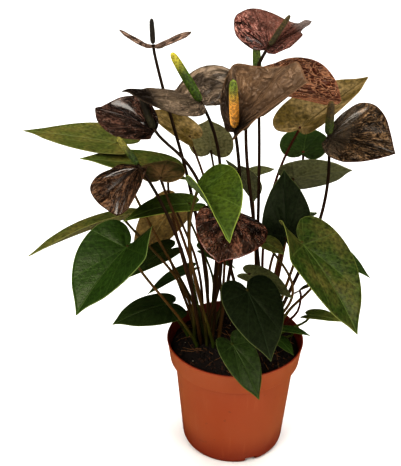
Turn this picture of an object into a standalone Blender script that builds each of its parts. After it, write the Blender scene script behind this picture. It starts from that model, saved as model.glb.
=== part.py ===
"""Potted black karma anthurium: a nursery pot, its peat, heart-shaped leaves and dark blooms.

Z is up, the pot stands on z = 0 and its axis is x = y = 0. Everything below is in metres,
apart from the placement tables, which are in millimetres and degrees.
"""
import math
from collections import namedtuple

import bmesh
import bpy
import numpy as np
from mathutils import kdtree

MM = 0.001

# Pot: a thin moulded tub with a collar at the rim and a raised floor.
POT_HEIGHT = 150 * MM
RIM_RADIUS = 85 * MM
COLLAR_HEIGHT = 28 * MM
COLLAR_FOOT_RADIUS = 80.5 * MM
WALL_TOP_RADIUS = 75 * MM
BASE_RADIUS = 65 * MM
POT_WALL = 2.2 * MM
FLOOR_UNDERSIDE = 9 * MM
FLOOR_TOP = 11.5 * MM
FOOT_WIDTH = 5 * MM
CENTRE_PAD_RADIUS = 15 * MM
TURN_STEPS = 32
NOTCH_SIZE = (24 * MM, 15 * MM, 7.5 * MM)
NOTCH_ANGLES = (53, 173, 293)
DRAIN_RADIUS = 4 * MM
DRAIN_RING = 40 * MM
DRAIN_COUNT = 6

# Peat: fills the pot to a little below the rim, with a lumpy top.
PEAT_LEVEL = 138 * MM
PEAT_GAP = 0.35 * MM
PEAT_LUMP = 2.2 * MM
PEAT_RINGS = 4
STEM_DEPTH = 15 * MM
HOLE_DEPTH = 17 * MM
HOLE_CLEARANCE = 0.5 * MM
HOLE_SIDES = 6

# Blades: leaves and spathes share one formula.
BLADE_THICKNESS = 0.9 * MM
SMALL_BLADE = 61 * MM
JOINT_SHARE = 0.03
RING_SHARES = (0.36, 0.7, 1.0)
SMALL_RING_SHARES = (0.5, 1.0)
LEAF_FLAT = 2.0 * MM
SPATHE_FLAT = 4.6 * MM
LEAF_RELIEF = 0.9 * MM
SPATHE_RELIEF = 1.7 * MM
RELIEF_START = 14 * MM
FULL_RELIEF_WIDTH = 60 * MM
LEAST_ARCH = 0.1
WAVE_HEIGHT = 1.4 * MM
WAVE_WIDTH = 90 * MM
WAVE_COUNT = 3
WAVE_PHASE = 1.7
CALM_MIDDLE = 0.2
LOBE_RISE = math.radians(12)
LOBE_RUN = 0.25
CUP_START = 0.12
CUP_RUN = 0.3
RIM_SHARE = 0.93

# Stems: a petiole under each leaf and a peduncle under each bloom.
PETIOLE_RADIUS = 2.0 * MM
PEDUNCLE_RADIUS = 2.3 * MM
STEM_TAPER = 0.72
SMALL_LEAF = 36 * MM
ROOT_SPACING = 8.6 * MM
ROOT_ROUNDS = 400
ROOT_PUSH = 0.3
CROWN_OUTSIDE = 24 * MM
CROWN_INSIDE = 6 * MM
PLANT_HEIGHT = 400 * MM
STEM_LEAN = 0.8
STEM_START = 0.4
STEM_ARRIVAL = 0.3
STEM_STEP = 6 * MM
STEM_SPACING = 7.5 * MM
BLADE_SPACING = 8 * MM
BLADE_SHARES = (0.15, 0.35, 0.55, 0.75, 0.9, 1.0)
STEM_LENGTHS = (70 * MM, 150 * MM, 260 * MM)
STEM_ROUNDS = 80
STEM_SMOOTHING = 30
STEM_PUSH = 0.5
FOOT_EASE = 30 * MM
END_EASE = 25 * MM
BOWS = (0, 14 * MM, 26 * MM, 38 * MM)
BOW_WAYS = 10
BOW_COST = 0.6
CROWNS = {"left": (-29 * MM, 7 * MM), "right": (33 * MM, 17 * MM)}
PETIOLE_END = 1.2 * MM
PETIOLE_ARRIVAL = 45 * MM
PETIOLE_UPRIGHT = 0.7
SMALL_PETIOLE = 0.55
STUB = 3.6 * MM
PEDUNCLE_ARRIVAL = 100 * MM

# Spadix: the finger of florets that stands on the peduncle's end.
SPADIX_SIDES = 8
SPADIX_ROWS = 11
SPADIX_MIDDLE = 0.25
SPADIX_END = 0.45
FLORET_RELIEF = 0.35 * MM
SEAT_GAP = 0.3 * MM

# Half outlines of a blade as shares of its length and width, from the tip round to the joint.
LEAF_HALF = [(1.0, 0.0), (0.88, 0.1), (0.68, 0.3), (0.4, 0.46), (0.1, 0.5),
             (-0.12, 0.41), (-0.19, 0.24), (-0.13, 0.07), (-0.03, 0.0)]
HEART_HALF = [(1.0, 0.0), (0.93, 0.08), (0.82, 0.23), (0.62, 0.39), (0.36, 0.49), (0.12, 0.49),
              (-0.06, 0.41), (-0.15, 0.28), (-0.15, 0.15), (-0.1, 0.05), (-0.03, 0.0)]
OVATE_HALF = [(1.0, 0.0), (0.95, 0.12), (0.84, 0.3), (0.66, 0.45), (0.46, 0.5), (0.27, 0.46),
              (0.12, 0.36), (-0.02, 0.26), (-0.1, 0.15), (-0.1, 0.05), (-0.03, 0.0)]
DROP_HALF = [(1.0, 0.0), (0.95, 0.06), (0.84, 0.2), (0.68, 0.38), (0.48, 0.49), (0.28, 0.48),
             (0.14, 0.38), (0.04, 0.26), (-0.05, 0.15), (-0.07, 0.05), (-0.03, 0.0)]
FLAG_HALF = [(1.0, 0.0), (1.0, 0.17), (0.85, 0.21), (0.6, 0.35), (0.36, 0.52), (0.2, 0.48),
             (0.03, 0.39), (-0.07, 0.27), (-0.1, 0.14), (-0.1, 0.05), (-0.03, 0.0)]
TAILED_HALF = [(1.0, 0.0), (0.9, 0.05), (0.74, 0.06), (0.62, 0.14), (0.5, 0.34), (0.32, 0.47),
               (0.1, 0.5), (-0.1, 0.44), (-0.2, 0.3), (-0.16, 0.1), (-0.03, 0.0)]
HATCHET_HALF = [(1.0, 0.0), (0.9, 0.05), (0.74, 0.07), (0.6, 0.14), (0.46, 0.23), (0.3, 0.28),
                (0.14, 0.35), (-0.04, 0.45), (-0.18, 0.4), (-0.17, 0.14), (-0.03, 0.0)]
OUTLINES = {
    "leaf": LEAF_HALF,
    "heart": HEART_HALF,
    "ovate": OVATE_HALF,
    "drop": DROP_HALF,
    "flag": FLAG_HALF,
    "tailed": TAILED_HALF,
    "hatchet": HATCHET_HALF,
}

# Joint and tip are points. Width is across the blade, roll turns its face to its left,
# arch bends it down along its length, fold lifts its left and right halves, and lean makes
# its left half wider than its right. Cup folds a half further up at its base, lobes stretch
# the basal lobes, and shape names the outlines of the two halves.
LEAF_COLUMNS = "name joint tip width roll arch fold crown lean cup lobes shape"
BLOOM_COLUMNS = "name joint tip width roll arch fold crown spadix girth shape cup lobes lean"
Leaf = namedtuple("Leaf", LEAF_COLUMNS, defaults=[0, (0, 0), (1, 1), "leaf"])
Bloom = namedtuple("Bloom", BLOOM_COLUMNS, defaults=[0])

LEAVES = [
    Leaf("leaf_far_left", (-146, 40, 386), (-262, 60, 391), 84, 3, 5, (8, 4), "left"),
    Leaf("leaf_high_left", (-82, 10, 366), (-180, -12, 386), 78, 4, 10, (12, 4), "left"),
    Leaf("leaf_high_yellow", (-64, 80, 382), (-115, 92, 411), 60, 5, 5, (12, 12), "left"),
    Leaf("leaf_high_back", (-40, 150, 338), (-42, 118, 392), 60, 0, 15, (8, 8), "left"),
    Leaf("leaf_front_bright", (-44, -78, 381), (-8, -150, 358), 64, 0, 35, (38, 66), "left", 0.34),
    Leaf("leaf_young_brown", (-86, -42, 378), (-84, 8, 379), 51, 0, 14, (10, 10), "left"),
    Leaf("leaf_shade_mid", (-2, 75, 343), (18, 95, 290), 54, 0, 15, (8, 8), "left"),
    Leaf("leaf_shade_small", (14, 115, 321), (44, 125, 325), 30, 0, 10, (10, 10), "right"),
    Leaf("leaf_right_back", (75, 80, 366), (85, 150, 374), 60, 0, 20, (10, 10), "right"),
    Leaf("leaf_right_grey", (62, 45, 346), (130, 35, 363), 78, 50, 10, (8, 8), "right", 0.15),
    Leaf("leaf_upright_dark", (55, -10, 294), (50, 25, 366), 60, 0, 20, (12, 12), "right"),
    Leaf("leaf_front_right", (68, -70, 320), (130, -120, 238), 100, 0, 22, (14, 18), "right",
         -0.06, (0, 26), (1, 1.2)),
    Leaf("leaf_small_centre", (30, -34, 300), (52, -46, 292), 30, 0, 15, (10, 10), "right"),
    Leaf("leaf_front_low", (12, -65, 255), (40, -125, 202), 68, 0, 20, (8, 4), "right"),
    Leaf("leaf_behind_low", (14, -20, 250), (66, -38, 230), 42, 0, 20, (10, 10), "right"),
    Leaf("leaf_over_rim", (-3, -68, 184), (30, -108, 136), 44, -10, 25, (10, 10), "left"),
    Leaf("leaf_seedling_front", (55, -5, 150), (72, -32, 146), 18, 0, 10, (10, 10), "right"),
    Leaf("leaf_seedling_right", (60, 4, 160), (92, -18, 166), 16, 0, 15, (10, 10), "right"),
    Leaf("leaf_low_right", (92, 20, 172), (130, -2, 178), 28, 0, 15, (10, 10), "right"),
    Leaf("leaf_low_right_dark", (80, 40, 195), (97, 28, 212), 26, 0, 10, (10, 10), "right"),
    Leaf("leaf_low_left", (-82, 10, 187), (-148, -35, 182), 62, 0, 20, (-15, 0), "left"),
    Leaf("leaf_narrow_left", (-62, 70, 203), (-115, 45, 178), 42, -15, 10, (10, 10), "left"),
    Leaf("leaf_brown_left", (-88, 48, 242), (-155, 8, 213), 46, 0, 10, (8, 8), "left"),
    Leaf("leaf_front_left", (-122, -60, 303), (-172, -118, 247), 100, 0, 20, (22, 24), "left",
         0.09, (18, 0), (1.3, 1)),
    Leaf("leaf_strip_left", (-136, 10, 302), (-243, -36, 272), 60, -8, 15, (30, 10), "left"),
    Leaf("leaf_mid_left", (-57, -10, 334), (-130, -40, 323), 40, 8, 30, (10, 10), "left"),
    Leaf("leaf_mid_left_brown", (-80, 55, 300), (-134, 68, 208), 60, -60, 10, (8, 8), "left"),
    Leaf("leaf_shade_low", (-44, 66, 233), (-2, 70, 206), 36, 0, 20, (10, 10), "left"),
    Leaf("leaf_right_low_back", (105, 60, 245), (165, 35, 220), 46, 0, 20, (10, 10), "right"),
    Leaf("leaf_high_right", (68, 55, 406), (149, 112, 453), 80, -10, 0, (15, 30), "right",
         0, (0, 0), (1, 0.4)),
    Leaf("leaf_back_right", (62, 112, 270), (92, 175, 232), 66, 0, 25, (10, 10), "right"),
    Leaf("leaf_back_left", (-70, 120, 262), (-108, 180, 226), 62, 0, 25, (10, 10), "left"),
]

BLOOMS = [
    Bloom("top_left", (-100, 30, 502), (-111, 112, 485), 88, -4, 0, (24, 27), "left",
          (-102, 35, 533), 3.0, "heart", (0, 0), (1, 1), -0.05),
    Bloom("top_right", (23, -20, 516), (72, 50, 530), 72, -32, 10, (5, 45), "right",
          (45, -10, 549), 3.0, "tailed", (12, 12), (1.15, 0.3), 0.36),
    Bloom("left", (-93, -30, 427), (-158, -20, 448), 68, 10, 15, (3, 50), "left",
          (-107, -32, 465), 4.2, "ovate drop", (0, 0), (0, 0.1), 0.15),
    Bloom("upper_centre", (-44, -12, 453), (-122, -62, 480), 96, 0, 20, (-22, 2), "left",
          (-75, -27, 512), 5.2, "drop hatchet", (0, 85), (0.1, 1.6), -0.2),
    Bloom("front_centre", (-7, -88, 451), (57, -110, 512), 80, -62, 10, (0, 62), "left",
          (-10, -106, 508), 4.9, "flag", (0, 0), (1, 0.2), 0.36),
    Bloom("back_centre", (16, 30, 463), (106, 5, 455), 84, -38, 15, (8, 50), "right",
          (12, 25, 511), 5.0, "ovate", (0, 0), (1, 1)),
    Bloom("right", (93, -15, 420), (157, -65, 423), 77, -45, 15, (8, 28), "right",
          (93, -20, 463), 4.8, "drop", (0, 0), (0.5, 0.5), 0.2),
    Bloom("left_low", (-107, -55, 396), (-126, -100, 359), 68, 0, 30, (30, -8), "left",
          (-128, -66, 433), 3.6, "ovate", (0, 0), (0.1, 0.1), -0.4),
    Bloom("centre_low", (-8, -45, 340), (-20, -105, 310), 80, 0, 20, (-20, 10), "right",
          (-10, -50, 392), 3.4, "heart", (0, 0), (0.5, 1), 0.1),
]


def material(name, colour, roughness):
    """A plain finish: base colour and roughness, not metallic."""
    finish = bpy.data.materials.new(name)
    finish.use_nodes = True
    shader = finish.node_tree.nodes["Principled BSDF"]
    shader.inputs["Base Color"].default_value = (*colour, 1.0)
    shader.inputs["Roughness"].default_value = roughness
    shader.inputs["Metallic"].default_value = 0.0
    return finish


def unit(vector):
    return vector / np.linalg.norm(vector)


def place(point):
    """A table point as metres."""
    return np.array(point, float) * MM


def add_object(name, mesh, finish, collection):
    obj = bpy.data.objects.new(name, mesh)
    if finish:
        mesh.materials.append(finish)
    collection.objects.link(obj)
    return obj


def evaluated_copy(obj, name, collection, finish=None):
    """The object's shape with its modifiers applied, as a new mesh object; the old one goes."""
    graph = bpy.context.evaluated_depsgraph_get()
    mesh = bpy.data.meshes.new_from_object(obj.evaluated_get(graph))
    matrix = obj.matrix_world.copy()
    bpy.data.objects.remove(obj)
    mesh.materials.clear()
    copy = add_object(name, mesh, finish, collection)
    copy.matrix_world = matrix
    return copy


def smooth(obj, angle=40):
    obj.data.shade_smooth()
    obj.data.set_sharp_from_angle(angle=math.radians(angle))


def lathe(name, profile, steps, finish, collection):
    """A solid turned round Z from a profile of radius and height."""
    mesh = bpy.data.meshes.new(name)
    edges = [(i, i + 1) for i in range(len(profile) - 1)]
    mesh.from_pydata([(r, 0, z) for r, z in profile], edges, [])
    obj = add_object(name, mesh, finish, collection)
    screw = obj.modifiers.new("Turn", "SCREW")
    screw.steps = steps
    screw.render_steps = steps
    screw.use_merge_vertices = True
    screw.merge_threshold = 0.00005
    return obj


def cut(obj, cutters):
    """Take every cutter of a collection out of the object."""
    boolean = obj.modifiers.new("Cut", "BOOLEAN")
    boolean.operation = "DIFFERENCE"
    boolean.operand_type = "COLLECTION"
    boolean.collection = cutters
    boolean.solver = "EXACT"


def hide_cutter(obj):
    obj.hide_render = True
    obj.display_type = "WIRE"


def pot_inner_profile(clearance=0.0):
    """The tub's inner wall, from its floor up to the lip, moved in by a clearance."""
    ledge = POT_HEIGHT - COLLAR_HEIGHT
    inset = POT_WALL + clearance
    return [
        (BASE_RADIUS - inset, FLOOR_TOP + clearance),
        (WALL_TOP_RADIUS - inset, ledge),
        (COLLAR_FOOT_RADIUS - inset, ledge + 2 * MM),
        (RIM_RADIUS - inset, POT_HEIGHT),
    ]


def build_pot(collection, cutters, finish):
    """The tub: collar, tapered wall, rounded foot with notches, and a floor with drain holes."""
    ledge = POT_HEIGHT - COLLAR_HEIGHT
    lip = 0.6 * MM
    foot = BASE_RADIUS - 5 * MM
    profile = [(0, FLOOR_TOP)] + pot_inner_profile()
    profile += [
        (RIM_RADIUS - lip, POT_HEIGHT),
        (RIM_RADIUS, POT_HEIGHT - lip),
        (COLLAR_FOOT_RADIUS + lip, ledge + 2 * lip),
        (COLLAR_FOOT_RADIUS, ledge),
        (WALL_TOP_RADIUS, ledge - lip),
        (BASE_RADIUS, 8 * MM),
        (BASE_RADIUS - 1 * MM, 4 * MM),
        (BASE_RADIUS - 2.6 * MM, 1.2 * MM),
        (foot, 0),
        (foot - FOOT_WIDTH, 0),
        (foot - FOOT_WIDTH - 1 * MM, FLOOR_UNDERSIDE),
        (CENTRE_PAD_RADIUS + 2 * MM, FLOOR_UNDERSIDE),
        (CENTRE_PAD_RADIUS, 0),
        (0, 0),
    ]
    pot = lathe("pot", profile, TURN_STEPS, finish, collection)
    for degrees in NOTCH_ANGLES:
        turn = math.radians(degrees)
        bpy.ops.mesh.primitive_cube_add(size=1)
        notch = bpy.context.active_object
        notch.name = "notch_cutter"
        notch.scale = (NOTCH_SIZE[0], NOTCH_SIZE[1], 2 * NOTCH_SIZE[2])
        notch.rotation_euler = (0, 0, turn)
        reach = BASE_RADIUS - 5 * MM
        notch.location = (reach * math.cos(turn), reach * math.sin(turn), 0)
        move_to(notch, cutters)
    for k in range(DRAIN_COUNT):
        turn = math.radians(23 + 360 * k / DRAIN_COUNT)
        bpy.ops.mesh.primitive_cylinder_add(vertices=12, radius=DRAIN_RADIUS, depth=8 * MM)
        drain = bpy.context.active_object
        drain.name = "drain_cutter"
        middle = (FLOOR_TOP + FLOOR_UNDERSIDE) / 2
        drain.location = (DRAIN_RING * math.cos(turn), DRAIN_RING * math.sin(turn), middle)
        move_to(drain, cutters)
    cut(pot, cutters)
    smooth(pot, 35)
    return pot


def move_to(obj, collection):
    for old in list(obj.users_collection):
        old.objects.unlink(obj)
    collection.objects.link(obj)
    hide_cutter(obj)


def lump(x, y):
    """Height of the peat's lumps at a point, as a share from -1 to 1."""
    a = math.sin(x / (9 * MM) + 1.3) * math.cos(y / (11 * MM) - 0.4)
    b = math.sin((x + y) / (15 * MM) + 2.1) * math.cos((x - y) / (7 * MM))
    return 0.5 * a + 0.5 * b


def build_peat(collection, cutters, finish, stems):
    """The plug of peat: it follows the tub's inside, and each stem has a plain hole in its top."""
    wall = pot_inner_profile(PEAT_GAP)
    low, high = wall[2], wall[3]
    share = (PEAT_LEVEL - low[1]) / (high[1] - low[1])
    edge = low[0] + share * (high[0] - low[0]) - 1 * MM
    profile = [(edge * k / PEAT_RINGS, PEAT_LEVEL) for k in range(PEAT_RINGS + 1)]
    profile += [wall[2], wall[1], wall[0], (0, wall[0][1])]
    peat = lathe("peat", profile, TURN_STEPS, None, collection)
    peat = evaluated_copy(peat, "peat", collection, finish)
    for vertex in peat.data.vertices:
        x, y, z = vertex.co
        if z > PEAT_LEVEL - 1 * MM:
            calm = 1 - (math.hypot(x, y) / edge) ** 6
            vertex.co.z = z + PEAT_LUMP * lump(x, y) * calm
    for stem in stems:
        radius = stem.radius + HOLE_CLEARANCE
        bpy.ops.mesh.primitive_cylinder_add(vertices=HOLE_SIDES, radius=radius, depth=2 * HOLE_DEPTH)
        hole = bpy.context.active_object
        hole.name = "stem_cutter"
        hole.location = (stem.root[0], stem.root[1], PEAT_LEVEL)
        move_to(hole, cutters)
    cut(peat, cutters)
    smooth(peat, 35)
    return peat


def arc(distance, turn, start=0.0):
    """Distance along and height of a bend that leaves at an angle and turns evenly per metre."""
    rate = turn if abs(turn) > 1e-6 else 1e-6
    end = start + rate * distance
    return (math.sin(end) - math.sin(start)) / rate, (math.cos(start) - math.cos(end)) / rate


class Blade:
    """A heart-shaped sheet that leaves its joint towards its tip, arched, rolled and folded."""

    def __init__(self, row, flat, relief, phase):
        self.joint = place(row.joint)
        chord = place(row.tip) - self.joint
        along = unit(chord)
        up = np.array([0, 0, 1.0])
        face = unit(up - (up @ along) * along)
        left = np.cross(face, along)
        roll = math.radians(row.roll)
        face = math.cos(roll) * face + math.sin(roll) * left
        self.left = np.cross(face, along)
        bend = math.radians(max(row.arch, LEAST_ARCH))
        self.length = np.linalg.norm(chord) * (bend / 2) / math.sin(bend / 2)
        self.along = math.cos(bend / 2) * along + math.sin(bend / 2) * face
        self.face = math.cos(bend / 2) * face - math.sin(bend / 2) * along
        self.turn = bend / self.length
        self.width = row.width * MM
        self.fold = [math.radians(angle) for angle in row.fold]
        self.cup = [math.radians(angle) for angle in row.cup]
        self.lobes = row.lobes
        self.widths = (self.width * (1 + row.lean), -self.width * (1 - row.lean))
        self.halves = [OUTLINES[name] for name in (row.shape.split() * 2)[:2]]
        self.lobe_turn = LOBE_RISE / (LOBE_RUN * self.length)
        self.flat = flat
        self.relief = relief * min(1, self.width / FULL_RELIEF_WIDTH)
        self.phase = phase
        self.rings = RING_SHARES if self.width > SMALL_BLADE else SMALL_RING_SHARES

    def outline(self):
        """The whole outline as distances along and across, tip first, down the left side."""
        sides = []
        for half, lobe, width in zip(self.halves, self.lobes, self.widths):
            stretched = [(u if u > 0 else u * lobe, v) for u, v in half]
            sides.append([(u * self.length, v * width) for u, v in stretched])
        return sides[0] + sides[1][-2:0:-1]

    def point(self, u, v, lift=0.0):
        """The place of a spot u along the midrib and v across it, raised by lift."""
        turn = -self.turn if u >= 0 else -self.lobe_turn
        run, rise = arc(u, turn)
        tilt = turn * u
        side = 0 if v > 0 else 1
        fold = self.fold[side]
        fold += self.cup[side] * min(1, max(0, (CUP_START - u / self.length) / CUP_RUN))
        beyond = max(0, abs(v) - self.flat)
        across = min(abs(v), self.flat) + beyond * math.cos(fold)
        high = beyond * math.sin(fold)
        normal = math.cos(tilt) * self.face - math.sin(tilt) * self.along
        middle = self.joint + run * self.along + rise * self.face
        return middle + math.copysign(across, v) * self.left + (high + lift) * normal

    def surface(self):
        """Points and triangles: rings of the outline drawn in towards the joint, nerve by nerve."""
        outline = self.outline()
        count = len(outline)
        centre = JOINT_SHARE * self.length
        points = [self.point(centre, 0)]
        for share in self.rings:
            for k, (u, v) in enumerate(outline):
                panel = -math.cos(math.pi * k) * math.sin(math.pi * min(share, RIM_SHARE))
                panel *= min(1, share * math.hypot(u, v) / RELIEF_START)
                wave = math.sin(2 * math.pi * WAVE_COUNT * k / count + self.phase) * share ** 3
                calm = min(1, abs(v) / (CALM_MIDDLE * self.width))
                lift = self.relief * panel + WAVE_HEIGHT * wave * calm * self.width / WAVE_WIDTH
                points.append(self.point(centre + share * (u - centre), share * v, lift))
        faces = [(0, 1 + k, 1 + (k + 1) % count) for k in range(count)]
        for ring in range(len(self.rings) - 1):
            first = 1 + ring * count
            for k in range(count):
                near, following = first + k, first + (k + 1) % count
                faces.append((near, near + count, following + count))
                faces.append((near, following + count, following))
        return points, faces


def bend(start, rise, arrival, joint, straight):
    """Evenly stepped points of one smooth bend from the peat to the joint."""
    reach = np.linalg.norm(joint - start)
    first = start + rise * reach * STEM_START
    last = joint - arrival * min(reach * STEM_ARRIVAL, straight)
    count = max(5, round(reach / STEM_STEP))
    points = []
    for k in range(count + 1):
        t = k / count
        weights = ((1 - t) ** 3, 3 * (1 - t) ** 2 * t, 3 * (1 - t) * t ** 2, t ** 3)
        points.append(sum(w * p for w, p in zip(weights, (start, first, last, joint))))
    return np.array(points)


class Stem:
    """A petiole or peduncle: its root in the peat, its route, and how it meets its blade."""

    def __init__(self, root, radius, blade, arrival, end, straight):
        self.root = root
        self.radius = radius
        self.blade = blade
        self.arrival = arrival
        self.end = end
        start = np.array([root[0], root[1], PEAT_LEVEL + 4 * MM])
        outward = blade.joint - start
        outward[2] = 0
        rise = unit(np.array([0, 0, blade.joint[2] - start[2]]) + STEM_LEAN * outward)
        self.route = bend(start, rise, arrival, blade.joint, straight)
        steps = np.linalg.norm(np.diff(self.route, axis=0), axis=1)
        travel = np.concatenate([[0], np.cumsum(steps)])
        self.travel = travel / travel[-1]
        left = travel[-1] - travel
        self.ease = np.clip(travel / FOOT_EASE, 0, 1) * np.clip(left / END_EASE, 0, 1)

    def path(self):
        """The few points that the tube is drawn through, from its foot to its end."""
        reach = np.linalg.norm(self.route[-1] - self.route[0])
        count = 3 + sum(reach > length for length in STEM_LENGTHS)
        points = [np.array([self.root[0], self.root[1], PEAT_LEVEL - STEM_DEPTH])]
        for k in range(count):
            share = k / (count - 1)
            spot = [np.interp(share, self.travel, self.route[:, axis]) for axis in range(3)]
            points.append(np.array(spot))
        points[-1] = self.blade.joint + self.arrival * self.end
        return points


def bow_stems(stems, obstacles):
    """Bow each stem the way that meets the fewest blades and spadices of other stems."""
    for i, stem in enumerate(stems):
        sway = np.sin(np.linspace(0, math.pi, len(stem.route)))[:, None]
        choices = []
        for bow in BOWS:
            for k in range(BOW_WAYS if bow else 1):
                turn = 2 * math.pi * k / BOW_WAYS
                push = bow * np.array([math.cos(turn), math.sin(turn), 0])
                route = stem.route + sway * push
                cost = BOW_COST * bow / BOWS[-1]
                for spot in route:
                    meets = [distance for _, owner, distance in obstacles.near(spot) if owner != i]
                    if meets:
                        cost += 1 - min(meets) / BLADE_SPACING
                choices.append((cost, len(choices), route))
        stem.route = min(choices)[2]


def part_stems(stems, obstacles):
    """Bend the stems clear of each other and of the blades and spadices of other stems."""
    for _ in range(STEM_ROUNDS):
        owners = [i for i, stem in enumerate(stems) for _ in stem.route]
        spots = [spot for stem in stems for spot in stem.route]
        tree = kdtree.KDTree(len(spots))
        for k, spot in enumerate(spots):
            tree.insert(spot, k)
        tree.balance()
        for i, stem in enumerate(stems):
            push = np.zeros_like(stem.route)
            for k, spot in enumerate(stem.route):
                for other, index, distance in tree.find_range(spot, STEM_SPACING):
                    if owners[index] != i:
                        away = spot - np.array(other)
                        push[k] += away / max(distance, 1e-6) * (STEM_SPACING - distance)
                for other, owner, distance in obstacles.near(spot):
                    if owner != i:
                        away = spot - np.array(other)
                        push[k] += away / max(distance, 1e-6) * (BLADE_SPACING - distance)
            for _ in range(STEM_SMOOTHING):
                push[1:-1] = (push[:-2] + 2 * push[1:-1] + push[2:]) / 4
            stem.route = stem.route + STEM_PUSH * push * stem.ease[:, None]


class Obstacles:
    """Spots on every blade and spadix, each with the stem that owns it."""

    def __init__(self, blades, spadices):
        self.spots = []
        self.owners = []
        for i, blade in enumerate(blades):
            outline = blade.outline()
            centre = JOINT_SHARE * blade.length
            for share in BLADE_SHARES:
                for (u1, v1), (u2, v2) in zip(outline, outline[1:] + outline[:1]):
                    for part in (0, 0.5):
                        u, v = u1 + part * (u2 - u1), v1 + part * (v2 - v1)
                        self.spots.append(blade.point(centre + share * (u - centre), share * v))
                        self.owners.append(i)
        for i, foot, tip in spadices:
            for share in np.linspace(0, 1, SPADIX_ROWS + 1):
                self.spots.append(foot + share * (tip - foot))
                self.owners.append(i)
        self.tree = kdtree.KDTree(len(self.spots))
        for k, spot in enumerate(self.spots):
            self.tree.insert(spot, k)
        self.tree.balance()

    def near(self, spot):
        found = self.tree.find_range(spot, BLADE_SPACING)
        return [(other, self.owners[index], distance) for other, index, distance in found]


def stem_mesh(name, path, radius, collection):
    """A tapered tube along the path, as a mesh whose caps are joined on."""
    curve = bpy.data.curves.new(name, "CURVE")
    curve.dimensions = "3D"
    curve.bevel_depth = radius
    curve.bevel_resolution = 1
    curve.use_fill_caps = True
    spline = curve.splines.new("POLY")
    spline.points.add(len(path) - 1)
    for k, point in enumerate(path):
        spline.points[k].co = (*point, 1)
        spline.points[k].radius = 1 - (1 - STEM_TAPER) * max(0, k - 1) / (len(path) - 2)
    obj = bpy.data.objects.new(name, curve)
    collection.objects.link(obj)
    obj = evaluated_copy(obj, name, collection)
    work = bmesh.new()
    work.from_mesh(obj.data)
    bmesh.ops.remove_doubles(work, verts=work.verts, dist=0.00001)
    work.to_mesh(obj.data)
    work.free()
    return obj


def build_blade(name, stem, collection, finish):
    """One node: the blade as a thin solid sheet, fused with the stem that carries it."""
    points, faces = stem.blade.surface()
    mesh = bpy.data.meshes.new(name)
    mesh.from_pydata([tuple(p) for p in points], [], faces)
    sheet = add_object(name, mesh, finish, collection)
    solid = sheet.modifiers.new("Thickness", "SOLIDIFY")
    solid.thickness = BLADE_THICKNESS
    solid.offset = 0
    tube = stem_mesh(name + "_stem", stem.path(), stem.radius, collection)
    join = sheet.modifiers.new("Join", "BOOLEAN")
    join.operation = "UNION"
    join.object = tube
    join.solver = "MANIFOLD"
    whole = evaluated_copy(sheet, name, collection, finish)
    bpy.data.objects.remove(tube)
    smooth(whole)
    return whole


def build_spadix(name, foot, tip, girth, collection, finish):
    """A blunt finger of florets: a sphere drawn out along its axis, every other point raised."""
    axis = unit(tip - foot)
    length = np.linalg.norm(tip - foot)
    side = unit(np.cross(axis, np.array([0.3, 1.0, 0.1])))
    other = np.cross(axis, side)
    mesh = bpy.data.meshes.new(name)
    work = bmesh.new()
    bmesh.ops.create_uvsphere(work, u_segments=SPADIX_SIDES, v_segments=SPADIX_ROWS, radius=1)
    for vertex in work.verts:
        x, y, z = vertex.co
        share = 1 - math.acos(max(-1, min(1, z))) / math.pi
        row = round(share * SPADIX_ROWS)
        column = round(math.atan2(y, x) / (2 * math.pi / SPADIX_SIDES))
        end = math.sqrt(max(0, 1 - (2 * share - 1) ** 8))
        radius = girth * (0.9 + SPADIX_MIDDLE * share - SPADIX_END * share ** 2) * end
        radius += FLORET_RELIEF * (1 if (row + column) % 2 else -1) * end
        turn = math.atan2(y, x)
        spot = foot + axis * (length * share)
        if 0 < row < SPADIX_ROWS:
            spot = spot + radius * (math.cos(turn) * side + math.sin(turn) * other)
        vertex.co = spot
    bmesh.ops.recalc_face_normals(work, faces=work.faces)
    work.to_mesh(mesh)
    work.free()
    spadix = add_object(name, mesh, finish, collection)
    smooth(spadix, 60)
    return spadix


def roots_of(rows):
    """Where each stem leaves the peat: low ones on the crown's outside, high ones inside."""
    roots = []
    for row in rows:
        crown = np.array(CROWNS[row.crown])
        way = place(row.joint)[:2] - crown
        height = (row.joint[2] * MM - PEAT_LEVEL) / PLANT_HEIGHT
        spread = CROWN_OUTSIDE + (CROWN_INSIDE - CROWN_OUTSIDE) * min(1, height)
        roots.append(crown + unit(way) * spread)
    for _ in range(ROOT_ROUNDS):
        for i in range(len(roots)):
            for j in range(i):
                apart = roots[i] - roots[j]
                gap = np.linalg.norm(apart)
                if gap < ROOT_SPACING:
                    push = unit(apart) * (ROOT_SPACING - gap) * ROOT_PUSH
                    roots[i] = roots[i] + push
                    roots[j] = roots[j] - push
    return roots


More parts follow.
